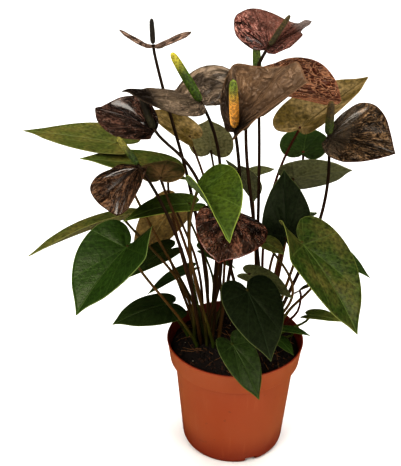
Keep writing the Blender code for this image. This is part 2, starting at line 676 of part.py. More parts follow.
def build():
    """Remove what the file holds, then make every piece in a collection of its own."""
    for obj in list(bpy.data.objects):
        bpy.data.objects.remove(obj)
    plant = bpy.data.collections.new("potted_anthurium")
    pot_cutters = bpy.data.collections.new("pot_cutters")
    peat_cutters = bpy.data.collections.new("peat_cutters")
    for collection in (plant, pot_cutters, peat_cutters):
        bpy.context.scene.collection.children.link(collection)

    terracotta = material("terracotta_plastic", (0.52, 0.10, 0.035), 0.45)
    peat = material("peat", (0.016, 0.009, 0.006), 0.95)
    green = material("leaf_green", (0.035, 0.075, 0.018), 0.4)
    dark = material("spathe_dark", (0.045, 0.016, 0.012), 0.25)
    florets = material("spadix_green", (0.30, 0.33, 0.05), 0.6)

    rows = LEAVES + BLOOMS
    stems = []
    spadices = []
    for index, (row, root) in enumerate(zip(rows, roots_of(rows))):
        phase = WAVE_PHASE * index
        if isinstance(row, Leaf):
            small = min(1, row.width * MM / SMALL_LEAF)
            blade = Blade(row, LEAF_FLAT * small, LEAF_RELIEF, phase)
            arrival = unit(blade.face + np.array([0, 0, PETIOLE_UPRIGHT]))
            radius = PETIOLE_RADIUS * (SMALL_PETIOLE + (1 - SMALL_PETIOLE) * small)
            stems.append(Stem(root, radius, blade, arrival, PETIOLE_END, PETIOLE_ARRIVAL))
        else:
            blade = Blade(row, SPATHE_FLAT, SPATHE_RELIEF, phase)
            arrival = unit(place(row.spadix) - blade.joint)
            stems.append(Stem(root, PEDUNCLE_RADIUS, blade, arrival, STUB, PEDUNCLE_ARRIVAL))
            foot = blade.joint + arrival * (STUB + SEAT_GAP)
            spadices.append((index, foot, place(row.spadix)))
    obstacles = Obstacles([stem.blade for stem in stems], spadices)
    bow_stems(stems, obstacles)
    part_stems(stems, obstacles)

    for row, stem in zip(rows, stems):
        bloom = isinstance(row, Bloom)
        name = "bloom_" + row.name if bloom else row.name
        build_blade(name, stem, plant, dark if bloom else green)
    for index, foot, tip in spadices:
        row = rows[index]
        build_spadix("spadix_" + row.name, foot, tip, row.girth * MM, plant, florets)

    build_pot(plant, pot_cutters, terracotta)
    build_peat(plant, peat_cutters, peat, stems)


build()
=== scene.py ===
# %% [markdown]
# # A potted black karma anthurium
#
# This is a houseplant with heart-shaped green leaves and dark, glossy, quilted blooms, in a
# thin terracotta-coloured nursery pot. The imported model already holds every leaf, bloom and
# the pot at its true size. Here each of them gets the surface that the eye expects: nerves
# and net on the leaves, quilting on the spathes, florets on the spadices, moulded plastic on
# the pot and crumbs and fibres on the peat.

# The dressed plant has to stay inside it.

import math
import random
from collections import namedtuple

import bmesh
import bpy
import numpy as np
from mathutils import Matrix, Vector, kdtree, noise


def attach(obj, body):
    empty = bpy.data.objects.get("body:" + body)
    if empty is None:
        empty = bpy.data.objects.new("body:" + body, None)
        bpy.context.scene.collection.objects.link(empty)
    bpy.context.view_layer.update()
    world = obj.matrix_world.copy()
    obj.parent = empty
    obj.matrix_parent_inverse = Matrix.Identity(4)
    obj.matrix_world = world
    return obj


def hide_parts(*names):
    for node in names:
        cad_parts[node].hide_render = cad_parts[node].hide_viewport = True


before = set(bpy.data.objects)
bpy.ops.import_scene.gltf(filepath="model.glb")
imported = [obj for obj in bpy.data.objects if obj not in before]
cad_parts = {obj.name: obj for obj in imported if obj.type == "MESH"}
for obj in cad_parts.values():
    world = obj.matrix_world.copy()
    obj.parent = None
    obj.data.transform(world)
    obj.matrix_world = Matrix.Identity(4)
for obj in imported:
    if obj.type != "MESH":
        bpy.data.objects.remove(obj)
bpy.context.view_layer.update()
MM = 0.001

# %% [markdown]
# ## The camera
#
# A camera could be aimed by eye until its picture fits. This one is measured instead: the rim
# and the base of the pot show as ellipses of different roundness, so the camera stood close,
# about 0.85 m in front of the pot and 0.72 m up, and looked down at it. A lens is a focal
# length against a sensor: the photograph's focal length is 812 of its pixels, and its long
# side of 466 pixels is the sensor's 36 mm.

# %% Camera
EYE = Vector((0.0, -0.850, 0.722))
LOOK_DOWN, LOOK_LEFT, LEAN = 26.8, 3.0, 0.6
FOCAL_PIXELS, LONG_SIDE_PIXELS, SENSOR = 812, 466, 36.0

camera_data = bpy.data.cameras.new("camera")
camera_data.sensor_width = SENSOR
camera_data.lens = SENSOR * FOCAL_PIXELS / LONG_SIDE_PIXELS
camera = bpy.data.objects.new("camera", camera_data)
bpy.context.scene.collection.objects.link(camera)
bpy.context.scene.camera = camera
aim = Matrix.Rotation(math.radians(LOOK_LEFT), 4, "Z")
aim = aim @ Matrix.Rotation(math.radians(90 - LOOK_DOWN), 4, "X")
aim = aim @ Matrix.Rotation(math.radians(LEAN), 4, "Z")
camera.matrix_world = Matrix.Translation(EYE) @ aim
print("lens", round(camera_data.lens, 1), "mm")

# %% [markdown]
# ## Colours
#
# A screen stores light on a curve, and a renderer counts it in even steps. A colour could be
# picked in Blender's colour wheel, but a hex value as a screen shows it is easier to compare
# with a photograph. One function turns that value into linear light.

# %% Colours as linear light
SRGB_KNEE, SRGB_SLOPE, SRGB_OFFSET, SRGB_POWER = 0.04045, 12.92, 0.055, 2.4


def linear(code):
    """An sRGB hex colour as linear light."""
    channels = [int(code[k:k + 2], 16) / 255 for k in (0, 2, 4)]
    return [c / SRGB_SLOPE if c < SRGB_KNEE else ((c + SRGB_OFFSET) / (1 + SRGB_OFFSET)) ** SRGB_POWER
            for c in channels] + [1.0]


print("the screen's middle grey is", round(linear("808080")[0], 3), "of its white light")

# %% [markdown]
# ## Nodes
#
# A material is a small network of nodes. It could be wired by hand in the shader editor. Here
# one small function adds a node, sets what it has to set and links what feeds it, so a finish
# is read line by line. Map Range comes back most often: it takes a value (its input 0) from one
# span (inputs 1 and 2) to another (3 and 4). Paint lies in layers, and so does colour here: a
# pattern says how much each layer covers what is below it.

# %% Helpers for materials


def feed(tree, node, feeds):
    """Give inputs of a node a value, or a link from another node's output."""
    for name, value in feeds.items():
        if isinstance(value, bpy.types.NodeSocket):
            tree.links.new(value, node.inputs[name])
        else:
            node.inputs[name].default_value = value


def add(tree, kind, feeds=None, out=0, **settings):
    """Add a node with its settings and feeds, and return the output that is asked for."""
    node = tree.nodes.new(kind)
    for name, value in settings.items():
        setattr(node, name, value)
    feed(tree, node, feeds or {})
    return node.outputs[out]


def paint(tree, colour, layers):
    """Lay colours over a first one; each layer is its cover and its hex colour."""
    for cover, code in layers:
        colour = add(tree, "ShaderNodeMixRGB", {"Fac": cover, "Color1": colour, "Color2": linear(code)})
    return colour


def new_material(name):
    """An empty material, its node tree and its shader."""
    material = bpy.data.materials.new(name)
    material.use_nodes = True
    tree = material.node_tree
    return material, tree, tree.nodes["Principled BSDF"]


print("helpers for materials ready")

# %% [markdown]
# ## Floor and picture style
#
# The photograph is a plain product shot on white paper. A curved backdrop would do as well, but
# from this height one wide flat disc fills the whole picture. It is almost white, with a faint
# grain. The photograph was developed hard, with deep blacks beside bright shine, so the view
# has a look with more contrast and a tenth of a stop more exposure.

# %% Floor and view
FLOOR_RADIUS, FLOOR_SIDES = 9.0, 96

floor_finish, tree, shader = new_material("white_studio_paper")
grain = add(tree, "ShaderNodeTexNoise", {"Scale": 60.0, "Detail": 4.0}, "Fac")
paper = paint(tree, linear("f4f4f2"), [(grain, "fbfbfa")])
feed(tree, shader, {"Base Color": paper, "Roughness": 0.9})

bpy.ops.mesh.primitive_circle_add(vertices=FLOOR_SIDES, radius=FLOOR_RADIUS, fill_type="NGON")
floor = bpy.context.active_object
floor.name = "studio_floor"
floor.data.materials.append(floor_finish)
floor.visible_glossy = False

view = bpy.context.scene.view_settings
view.view_transform = "Standard"
view.look = "Medium High Contrast"
view.exposure = 0.1
print("floor of", FLOOR_RADIUS, "m, seen with the look", view.look)

# %% [markdown]
# ## Light
#
# The light is broad and soft and falls from above and in front. A small lamp would throw hard
# shadows, and an area light throws soft ones, because every point of it shines. The key light
# stands to the front left and above, and its mirror image is the bright glint on each fold of
# the spathes. A photographer holds the broad white ceiling and floor off dark glossy things,
# with a polarising filter, because their mirror image would turn black into grey. Here the
# ceiling, the air and the floor are left out of glossy reflections for the same reason.

# %% Air and lights
world = bpy.data.worlds.new("studio_air")
bpy.context.scene.world = world
world.use_nodes = True
world.cycles_visibility.glossy = False
feed(world.node_tree, world.node_tree.nodes["Background"],
     {"Color": linear("fffdf9"), "Strength": 0.28})

LIGHTS = [
    ("key_softbox", (-0.95, -1.35, 1.55), 0.8, 24, "fff8ee"),
    ("fill_softbox", (1.25, -1.05, 1.05), 0.9, 13, "fffaf4"),
    ("ceiling_softbox", (0.0, 1.2, 4.2), 6.0, 330, "ffffff"),
]
TARGET = Vector((-0.02, 0.0, 0.30))
for name, place_at, size, power, colour in LIGHTS:
    light = bpy.data.lights.new(name, "AREA")
    light.shape = "SQUARE"
    light.size = size
    light.energy = power
    light.color = linear(colour)[:3]
    lamp = bpy.data.objects.new(name, light)
    lamp.location = place_at
    lamp.rotation_euler = (TARGET - Vector(place_at)).to_track_quat("-Z", "Y").to_euler()
    lamp.visible_glossy = name != "ceiling_softbox"
    bpy.context.scene.collection.objects.link(lamp)
print(len(LIGHTS), "soft lights")

# %% [markdown]
# ## Where each leaf and bloom is
#
# Leaves could be scattered by chance, but this is a portrait of one plant. So every row is one
# leaf or one bloom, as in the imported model, in millimetres and degrees. The joint is where the
# stem meets the blade, and the tip is the far end of its midrib. Roll turns the blade's face to
# its left, arch bends it down along its length, fold lifts its two halves, and lean makes the
# left half the wider one. Cup folds a half further up at its base, lobes stretch the lobes
# behind the joint, and shape names the outlines of the two halves.

# %% Table of leaves and blooms
LEAF_COLUMNS = "name joint tip width roll arch fold crown lean cup lobes shape"
BLOOM_COLUMNS = "name joint tip width roll arch fold crown spadix girth shape cup lobes lean"
Leaf = namedtuple("Leaf", LEAF_COLUMNS, defaults=[0, (0, 0), (1, 1), "leaf"])
Bloom = namedtuple("Bloom", BLOOM_COLUMNS, defaults=[0])

LEAVES = [
    Leaf("leaf_far_left", (-146, 40, 386), (-262, 60, 391), 84, 3, 5, (8, 4), "left"),
    Leaf("leaf_high_left", (-82, 10, 366), (-180, -12, 386), 78, 4, 10, (12, 4), "left"),
    Leaf("leaf_high_yellow", (-64, 80, 382), (-115, 92, 411), 60, 5, 5, (12, 12), "left"),
    Leaf("leaf_high_back", (-40, 150, 338), (-42, 118, 392), 60, 0, 15, (8, 8), "left"),
    Leaf("leaf_front_bright", (-44, -78, 381), (-8, -150, 358), 64, 0, 35, (38, 66), "left", 0.34),
    Leaf("leaf_young_brown", (-86, -42, 378), (-84, 8, 379), 51, 0, 14, (10, 10), "left"),
    Leaf("leaf_shade_mid", (-2, 75, 343), (18, 95, 290), 54, 0, 15, (8, 8), "left"),
    Leaf("leaf_shade_small", (14, 115, 321), (44, 125, 325), 30, 0, 10, (10, 10), "right"),
    Leaf("leaf_right_back", (75, 80, 366), (85, 150, 374), 60, 0, 20, (10, 10), "right"),
    Leaf("leaf_right_grey", (62, 45, 346), (130, 35, 363), 78, 50, 10, (8, 8), "right", 0.15),
    Leaf("leaf_upright_dark", (55, -10, 294), (50, 25, 366), 60, 0, 20, (12, 12), "right"),
    Leaf("leaf_front_right", (68, -70, 320), (130, -120, 238), 100, 0, 22, (14, 18), "right",
         -0.06, (0, 26), (1, 1.2)),
    Leaf("leaf_small_centre", (30, -34, 300), (52, -46, 292), 30, 0, 15, (10, 10), "right"),
    Leaf("leaf_front_low", (12, -65, 255), (40, -125, 202), 68, 0, 20, (8, 4), "right"),
    Leaf("leaf_behind_low", (14, -20, 250), (66, -38, 230), 42, 0, 20, (10, 10), "right"),
    Leaf("leaf_over_rim", (-3, -68, 184), (30, -108, 136), 44, -10, 25, (10, 10), "left"),
    Leaf("leaf_seedling_front", (55, -5, 150), (72, -32, 146), 18, 0, 10, (10, 10), "right"),
    Leaf("leaf_seedling_right", (60, 4, 160), (92, -18, 166), 16, 0, 15, (10, 10), "right"),
    Leaf("leaf_low_right", (92, 20, 172), (130, -2, 178), 28, 0, 15, (10, 10), "right"),
    Leaf("leaf_low_right_dark", (80, 40, 195), (97, 28, 212), 26, 0, 10, (10, 10), "right"),
    Leaf("leaf_low_left", (-82, 10, 187), (-148, -35, 182), 62, 0, 20, (-15, 0), "left"),
    Leaf("leaf_narrow_left", (-62, 70, 203), (-115, 45, 178), 42, -15, 10, (10, 10), "left"),
    Leaf("leaf_brown_left", (-88, 48, 242), (-155, 8, 213), 46, 0, 10, (8, 8), "left"),
    Leaf("leaf_front_left", (-122, -60, 303), (-172, -118, 247), 100, 0, 20, (22, 24), "left",
         0.09, (18, 0), (1.3, 1)),
    Leaf("leaf_strip_left", (-136, 10, 302), (-243, -36, 272), 60, -8, 15, (30, 10), "left"),
    Leaf("leaf_mid_left", (-57, -10, 334), (-130, -40, 323), 40, 8, 30, (10, 10), "left"),
    Leaf("leaf_mid_left_brown", (-80, 55, 300), (-134, 68, 208), 60, -60, 10, (8, 8), "left"),
    Leaf("leaf_shade_low", (-44, 66, 233), (-2, 70, 206), 36, 0, 20, (10, 10), "left"),
    Leaf("leaf_right_low_back", (105, 60, 245), (165, 35, 220), 46, 0, 20, (10, 10), "right"),
    Leaf("leaf_high_right", (68, 55, 406), (149, 112, 453), 80, -10, 0, (15, 30), "right",
         0, (0, 0), (1, 0.4)),
    Leaf("leaf_back_right", (62, 112, 270), (92, 175, 232), 66, 0, 25, (10, 10), "right"),
    Leaf("leaf_back_left", (-70, 120, 262), (-108, 180, 226), 62, 0, 25, (10, 10), "left"),
]

BLOOMS = [
    Bloom("top_left", (-100, 30, 502), (-111, 112, 485), 88, -4, 0, (24, 27), "left",
          (-102, 35, 533), 3.0, "heart", (0, 0), (1, 1), -0.05),
    Bloom("top_right", (23, -20, 516), (72, 50, 530), 72, -32, 10, (5, 45), "right",
          (45, -10, 549), 3.0, "tailed", (12, 12), (1.15, 0.3), 0.36),
    Bloom("left", (-93, -30, 427), (-158, -20, 448), 68, 10, 15, (3, 50), "left",
          (-107, -32, 465), 4.2, "ovate drop", (0, 0), (0, 0.1), 0.15),
    Bloom("upper_centre", (-44, -12, 453), (-122, -62, 480), 96, 0, 20, (-22, 2), "left",
          (-75, -27, 512), 5.2, "drop hatchet", (0, 85), (0.1, 1.6), -0.2),
    Bloom("front_centre", (-7, -88, 451), (57, -110, 512), 80, -62, 10, (0, 62), "left",
          (-10, -106, 508), 4.9, "flag", (0, 0), (1, 0.2), 0.36),
    Bloom("back_centre", (16, 30, 463), (106, 5, 455), 84, -38, 15, (8, 50), "right",
          (12, 25, 511), 5.0, "ovate", (0, 0), (1, 1)),
    Bloom("right", (93, -15, 420), (157, -65, 423), 77, -45, 15, (8, 28), "right",
          (93, -20, 463), 4.8, "drop", (0, 0), (0.5, 0.5), 0.2),
    Bloom("left_low", (-107, -55, 396), (-126, -100, 359), 68, 0, 30, (30, -8), "left",
          (-128, -66, 433), 3.6, "ovate", (0, 0), (0.1, 0.1), -0.4),
    Bloom("centre_low", (-8, -45, 340), (-20, -105, 310), 80, 0, 20, (-20, 10), "right",
          (-10, -50, 392), 3.4, "heart", (0, 0), (0.5, 1), 0.1),
]
print(len(LEAVES), "leaves and", len(BLOOMS), "blooms")

# %% [markdown]
# ## Outlines
#
# A leaf and a spathe are both a heart-shaped sheet. Its edge could be traced from a picture,
# but a short list is easier to change: half of the outline as shares of its length and width,
# from the tip round to the joint. A smooth curve is drawn through the points later. "leaf" is
# the leaves' own outline, and the others are the forms that spathes take as they open and age.

# %% Outlines
LEAF_HALF = [(1.0, 0.0), (0.88, 0.1), (0.68, 0.3), (0.4, 0.46), (0.1, 0.5),
             (-0.12, 0.41), (-0.19, 0.24), (-0.13, 0.07), (-0.03, 0.0)]
HEART_HALF = [(1.0, 0.0), (0.93, 0.08), (0.82, 0.23), (0.62, 0.39), (0.36, 0.49), (0.12, 0.49),
              (-0.06, 0.41), (-0.15, 0.28), (-0.15, 0.15), (-0.1, 0.05), (-0.03, 0.0)]
OVATE_HALF = [(1.0, 0.0), (0.95, 0.12), (0.84, 0.3), (0.66, 0.45), (0.46, 0.5), (0.27, 0.46),
              (0.12, 0.36), (-0.02, 0.26), (-0.1, 0.15), (-0.1, 0.05), (-0.03, 0.0)]
DROP_HALF = [(1.0, 0.0), (0.95, 0.06), (0.84, 0.2), (0.68, 0.38), (0.48, 0.49), (0.28, 0.48),
             (0.14, 0.38), (0.04, 0.26), (-0.05, 0.15), (-0.07, 0.05), (-0.03, 0.0)]
FLAG_HALF = [(1.0, 0.0), (1.0, 0.17), (0.85, 0.21), (0.6, 0.35), (0.36, 0.52), (0.2, 0.48),
             (0.03, 0.39), (-0.07, 0.27), (-0.1, 0.14), (-0.1, 0.05), (-0.03, 0.0)]
TAILED_HALF = [(1.0, 0.0), (0.9, 0.05), (0.74, 0.06), (0.62, 0.14), (0.5, 0.34), (0.32, 0.47),
               (0.1, 0.5), (-0.1, 0.44), (-0.2, 0.3), (-0.16, 0.1), (-0.03, 0.0)]
HATCHET_HALF = [(1.0, 0.0), (0.9, 0.05), (0.74, 0.07), (0.6, 0.14), (0.46, 0.23), (0.3, 0.28),
                (0.14, 0.35), (-0.04, 0.45), (-0.18, 0.4), (-0.17, 0.14), (-0.03, 0.0)]
OUTLINES = {
    "leaf": LEAF_HALF,
    "heart": HEART_HALF,
    "ovate": OVATE_HALF,
    "drop": DROP_HALF,
    "flag": FLAG_HALF,
    "tailed": TAILED_HALF,
    "hatchet": HATCHET_HALF,
}
print(len(OUTLINES), "outlines")

# %% [markdown]
# ## The blade formula
#
# A flat heart could be bent with lattices and modifiers. Here a formula arches, rolls and
# folds it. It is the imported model's formula, written for many spots at once, so the dressed
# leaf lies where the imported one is.

# %% Blade formula
LOBE_RISE, LOBE_RUN = math.radians(12), 0.25
CUP_START, CUP_RUN = 0.12, 0.3
JOINT_SHARE = 0.03
LEAF_FLAT, SPATHE_FLAT = 2.0 * MM, 4.6 * MM
LEAST_ARCH = 0.1
UP = np.array([0, 0, 1.0])


def unit(vector):
    """The same direction with length 1."""
    return vector / np.linalg.norm(vector)


def place(point):
    """A point in metres, from its millimetres."""
    return np.array(point, float) * MM


class Blade:
    """A heart-shaped sheet that leaves its joint towards its tip, arched, rolled and folded."""

    def __init__(self, row, flat):
        self.joint = place(row.joint)
        chord = place(row.tip) - self.joint
        along = unit(chord)
        face = unit(UP - (UP @ along) * along)
        roll = math.radians(row.roll)
        face = math.cos(roll) * face + math.sin(roll) * np.cross(face, along)
        self.left = np.cross(face, along)
        bend = math.radians(max(row.arch, LEAST_ARCH))
        self.length = np.linalg.norm(chord) * (bend / 2) / math.sin(bend / 2)
        self.along = math.cos(bend / 2) * along + math.sin(bend / 2) * face
        self.face = math.cos(bend / 2) * face - math.sin(bend / 2) * along
        self.turn = bend / self.length
        self.width = row.width * MM
        self.fold = [math.radians(angle) for angle in row.fold]
        self.cup = [math.radians(angle) for angle in row.cup]
        self.lobes = row.lobes
        self.widths = (self.width * (1 + row.lean), -self.width * (1 - row.lean))
        self.halves = [OUTLINES[name] for name in (row.shape.split() * 2)[:2]]
        self.lobe_turn = LOBE_RISE / (LOBE_RUN * self.length)
        self.flat = flat

    def outline(self):
        """The whole outline as distances along and across, tip first, down the left side."""
        sides = []
        for half, lobe, width in zip(self.halves, self.lobes, self.widths):
            stretched = [(u if u > 0 else u * lobe, v) for u, v in half]
            sides.append([(u * self.length, v * width) for u, v in stretched])
        return np.array(sides[0] + sides[1][-2:0:-1])

    def point(self, u, v):
        """The places of spots u along the midrib and v across it."""
        u, v = np.asarray(u, float), np.asarray(v, float)
        turn = np.where(u >= 0, -self.turn, -self.lobe_turn)
        tilt = turn * u
        run, rise = np.sin(tilt) / turn, (1 - np.cos(tilt)) / turn
        fold = np.where(v > 0, self.fold[0], self.fold[1])
        cup = np.where(v > 0, self.cup[0], self.cup[1])
        fold = fold + cup * np.clip((CUP_START - u / self.length) / CUP_RUN, 0, 1)
        beyond = np.maximum(0, np.abs(v) - self.flat)
        across = np.minimum(np.abs(v), self.flat) + beyond * np.cos(fold)
        across = np.copysign(across, v)[..., None]
        high = (beyond * np.sin(fold))[..., None]
        cos, sin = np.cos(tilt)[..., None], np.sin(tilt)[..., None]
        middle = self.joint + run[..., None] * self.along + rise[..., None] * self.face
        return middle + across * self.left + high * (cos * self.face - sin * self.along)


sample = Blade(LEAVES[0], LEAF_FLAT)
print("the first leaf is", round(sample.length / MM), "mm long and", LEAVES[0].width, "mm wide")

# %% [markdown]
# ## Where the stems stand
#
# All the stems of an anthurium rise from short crowns just above the peat. This pot holds two.
# The feet could be placed one by one, but the plant has a rule: low leaves leave a crown on its
# outside and high ones inside it, and neighbours push each other apart until they stand clear.

# %% Roots
PEAT_LEVEL = 138 * MM
ROOT_SPACING, ROOT_ROUNDS, ROOT_PUSH = 8.6 * MM, 400, 0.3
CROWN_OUTSIDE, CROWN_INSIDE, PLANT_HEIGHT = 24 * MM, 6 * MM, 400 * MM
CROWNS = {"left": (-29 * MM, 7 * MM), "right": (33 * MM, 17 * MM)}


def roots_of(rows):
    """Where each stem leaves the peat."""
    roots = []
    for row in rows:
        crown = np.array(CROWNS[row.crown])
        way = place(row.joint)[:2] - crown
        height = (row.joint[2] * MM - PEAT_LEVEL) / PLANT_HEIGHT
        spread = CROWN_OUTSIDE + (CROWN_INSIDE - CROWN_OUTSIDE) * min(1, height)
        roots.append(crown + unit(way) * spread)
    for _ in range(ROOT_ROUNDS):
        for i in range(len(roots)):
            for j in range(i):
                apart = roots[i] - roots[j]
                gap = np.linalg.norm(apart)
                if gap < ROOT_SPACING:
                    push = unit(apart) * (ROOT_SPACING - gap) * ROOT_PUSH
                    roots[i] = roots[i] + push
                    roots[j] = roots[j] - push
    return roots


rows = LEAVES + BLOOMS
roots = roots_of(rows)
print(len(roots), "stems in", len(CROWNS), "crowns")

# %% [markdown]
# ## How a stem runs
#
# A petiole carries a leaf and a peduncle carries a bloom. Each could be drawn as a curve with
# its own control points. But a stem only has to leave the crown and to arrive at the blade at
# the right angle, so one smooth bend from root to joint does it. A spathe's peduncle goes on
# through the joint as a stub, and the spadix sits on that.

# %% Stems
STEM_LEAN, STEM_START, STEM_ARRIVAL, STEM_STEP = 0.8, 0.4, 0.3, 6 * MM
FOOT_LEVEL, LEAST_STEPS, FOOT_EASE, END_EASE = PEAT_LEVEL + 4 * MM, 5, 30 * MM, 25 * MM
PETIOLE_RADIUS, PEDUNCLE_RADIUS = 2.0 * MM, 2.3 * MM
SMALL_LEAF, SMALL_PETIOLE = 36 * MM, 0.55
PETIOLE_ARRIVAL, PEDUNCLE_ARRIVAL, PETIOLE_UPRIGHT = 45 * MM, 100 * MM, 0.7
STUB, SEAT_GAP = 3.6 * MM, 0.3 * MM


class Stem:
    """A petiole or peduncle: its root, its route, and how it meets its blade."""

    def __init__(self, root, radius, blade, arrival, straight):
        self.root, self.radius, self.blade, self.arrival = root, radius, blade, arrival
        start = np.array([root[0], root[1], FOOT_LEVEL])
        outward = blade.joint - start
        outward[2] = 0
        rise = unit(np.array([0, 0, blade.joint[2] - start[2]]) + STEM_LEAN * outward)
        reach = np.linalg.norm(blade.joint - start)
        first = start + rise * reach * STEM_START
        last = blade.joint - arrival * min(reach * STEM_ARRIVAL, straight)
        count = max(LEAST_STEPS, round(reach / STEM_STEP))
        t = np.linspace(0, 1, count + 1)[:, None]
        self.route = (1 - t) ** 3 * start + 3 * (1 - t) ** 2 * t * first
        self.route = self.route + 3 * (1 - t) * t ** 2 * last + t ** 3 * blade.joint
        steps = np.linalg.norm(np.diff(self.route, axis=0), axis=1)
        travel = np.concatenate([[0], np.cumsum(steps)])
        left = travel[-1] - travel
        self.ease = np.clip(travel / FOOT_EASE, 0, 1) * np.clip(left / END_EASE, 0, 1)


stems, spadices = [], []
for index, (row, root) in enumerate(zip(rows, roots)):
    if isinstance(row, Leaf):
        small = min(1, row.width * MM / SMALL_LEAF)
        blade = Blade(row, LEAF_FLAT * small)
        arrival = unit(blade.face + np.array([0, 0, PETIOLE_UPRIGHT]))
        radius = PETIOLE_RADIUS * (SMALL_PETIOLE + (1 - SMALL_PETIOLE) * small)
        stems.append(Stem(root, radius, blade, arrival, PETIOLE_ARRIVAL))
    else:
        blade = Blade(row, SPATHE_FLAT)
        arrival = unit(place(row.spadix) - blade.joint)
        stems.append(Stem(root, PEDUNCLE_RADIUS, blade, arrival, PEDUNCLE_ARRIVAL))
        spadices.append((index, blade.joint + arrival * (STUB + SEAT_GAP), place(row.spadix)))
print("stems from", round(min(len(s.route) for s in stems) * STEM_STEP / MM), "mm to",
      round(max(len(s.route) for s in stems) * STEM_STEP / MM), "mm long")

# %% [markdown]
# ## What is near what
#
# To keep clear of blades, a stem has to know which are near. Every point could be compared
# with every other, but that takes long. A tree sorts all the spots by place once and then finds
# the near ones fast. Blades and spadices go into it as spots all over them.

# %% Neighbours
SPADIX_SPOTS, BLADE_SHARES = 11, (0.15, 0.35, 0.55, 0.75, 0.9, 1.0)


def tree_of(spots):
    """A tree that finds the spots near a place."""
    tree = kdtree.KDTree(len(spots))
    for k, spot in enumerate(spots):
        tree.insert(spot, k)
    tree.balance()
    return tree


def blade_spots(stems, spadices):
    """Spots on every blade and spadix, each with the stem that owns it."""
    spots, owners = [], []
    for i, stem in enumerate(stems):
        outline = stem.blade.outline()
        centre = JOINT_SHARE * stem.blade.length
        following = np.roll(outline, -1, 0)
        for share in BLADE_SHARES:
            for part in (0, 0.5):
                u, v = (outline + part * (following - outline)).T
                spots += list(stem.blade.point(centre + share * (u - centre), share * v))
                owners += [i] * len(u)
    for i, foot, tip in spadices:
        for share in np.linspace(0, 1, SPADIX_SPOTS + 1):
            spots.append(foot + share * (tip - foot))
            owners.append(i)
    return tree_of(spots), owners


blades, blade_owners = blade_spots(stems, spadices)
print(len(blade_owners), "spots on blades and spadices")

# %% [markdown]
# ## Bowed stems
#
# Stems grow towards the light round whatever is in their way. They could be untangled by hand,
# one after the other. Here each stem tries a few bows in ten directions and takes the one that
# meets the fewest other blades, with a small price on a strong bow.

# %% Bow the stems
BLADE_SPACING = 8 * MM
BOWS, BOW_WAYS, BOW_COST = (0, 14 * MM, 26 * MM, 38 * MM), 10, 0.6


def bow_stems(stems, blades, owners):
    """Bow each stem the way that meets the fewest blades and spadices of other stems."""
    for i, stem in enumerate(stems):
        sway = np.sin(np.linspace(0, math.pi, len(stem.route)))[:, None]
        choices = []
        for bow in BOWS:
            for k in range(BOW_WAYS if bow else 1):
                turn = 2 * math.pi * k / BOW_WAYS
                route = stem.route + sway * bow * np.array([math.cos(turn), math.sin(turn), 0])
                cost = BOW_COST * bow / BOWS[-1]
                for spot in route:
                    near = blades.find_range(spot, BLADE_SPACING)
                    meets = [gap for _, index, gap in near if owners[index] != i]
                    if meets:
                        cost += 1 - min(meets) / BLADE_SPACING
                choices.append((cost, len(choices), route))
        stem.route = min(choices)[2]


straight = [stem.route for stem in stems]
bow_stems(stems, blades, blade_owners)
bowed = sum(not np.allclose(stem.route, route) for stem, route in zip(stems, straight))
print(bowed, "of", len(stems), "stems bow round something")

# %% [markdown]
# ## Room for every stem
#
# Two stems may still touch. A simulation could part them, but a small loop is enough. In each
# round, stems and blades push a stem away where it is too near. The push is smoothed along the
# stem, so that it stays one soft bend, and fades out at its root and its joint.

# %% Part the stems
STEM_SPACING, LEAST_GAP = 7.5 * MM, 1e-6
STEM_ROUNDS, STEM_SMOOTHING, STEM_PUSH = 80, 30, 0.5


def part_stems(stems, blades, blade_owners):
    """Push the stems clear of each other and of other stems' blades, a little each round."""
    for _ in range(STEM_ROUNDS):
        owners = [i for i, stem in enumerate(stems) for _ in stem.route]
        routes = tree_of([spot for stem in stems for spot in stem.route])
        meetings = ((routes, owners, STEM_SPACING), (blades, blade_owners, BLADE_SPACING))
        for i, stem in enumerate(stems):
            push = np.zeros_like(stem.route)
            for k, spot in enumerate(stem.route):
                for others, other_owners, room in meetings:
                    for other, index, gap in others.find_range(spot, room):
                        if other_owners[index] != i:
                            push[k] += (spot - np.array(other)) / max(gap, LEAST_GAP) * (room - gap)
            for _ in range(STEM_SMOOTHING):
                push[1:-1] = (push[:-2] + 2 * push[1:-1] + push[2:]) / 4
            stem.route = stem.route + STEM_PUSH * push * stem.ease[:, None]


bows = [stem.route for stem in stems]
part_stems(stems, blades, blade_owners)
moved = max(np.abs(stem.route - route).max() for stem, route in zip(stems, bows))
print("the pushes moved stems by up to", round(moved / MM), "mm")

# %% [markdown]
# ## A smooth outline
#
# A smooth curve runs through the outline's points and keeps the tip and the notch at the joint
# sharp. Blender's own curves could draw it. It is worked out here, because each of its points
# also has to know its ray: the outline's points are numbered, and the ray tells how far round
# a point lies. The second helper finds the directions in which a bent sheet faces.

# %% Smooth outline and normals
LEAST_NORMAL = 1e-12


def smooth_outline(outline, steps):
    """The outline as a smooth closed curve, and the ray number of each of its points."""
    count = len(outline)
    slope = (np.roll(outline, -1, 0) - np.roll(outline, 1, 0)) / 2
    slope[[0, count // 2]] = 0
    t = (np.arange(steps) / steps)[None, :, None]
    a, b = outline[:, None], np.roll(outline, -1, 0)[:, None]
    sa, sb = slope[:, None], np.roll(slope, -1, 0)[:, None]
    curve = (2 * t ** 3 - 3 * t ** 2 + 1) * a + (t ** 3 - 2 * t ** 2 + t) * sa
    curve = curve + (3 * t ** 2 - 2 * t ** 3) * b + (t ** 3 - t ** 2) * sb
    rays = np.arange(count * steps) / steps
    return curve.reshape(-1, 2), rays


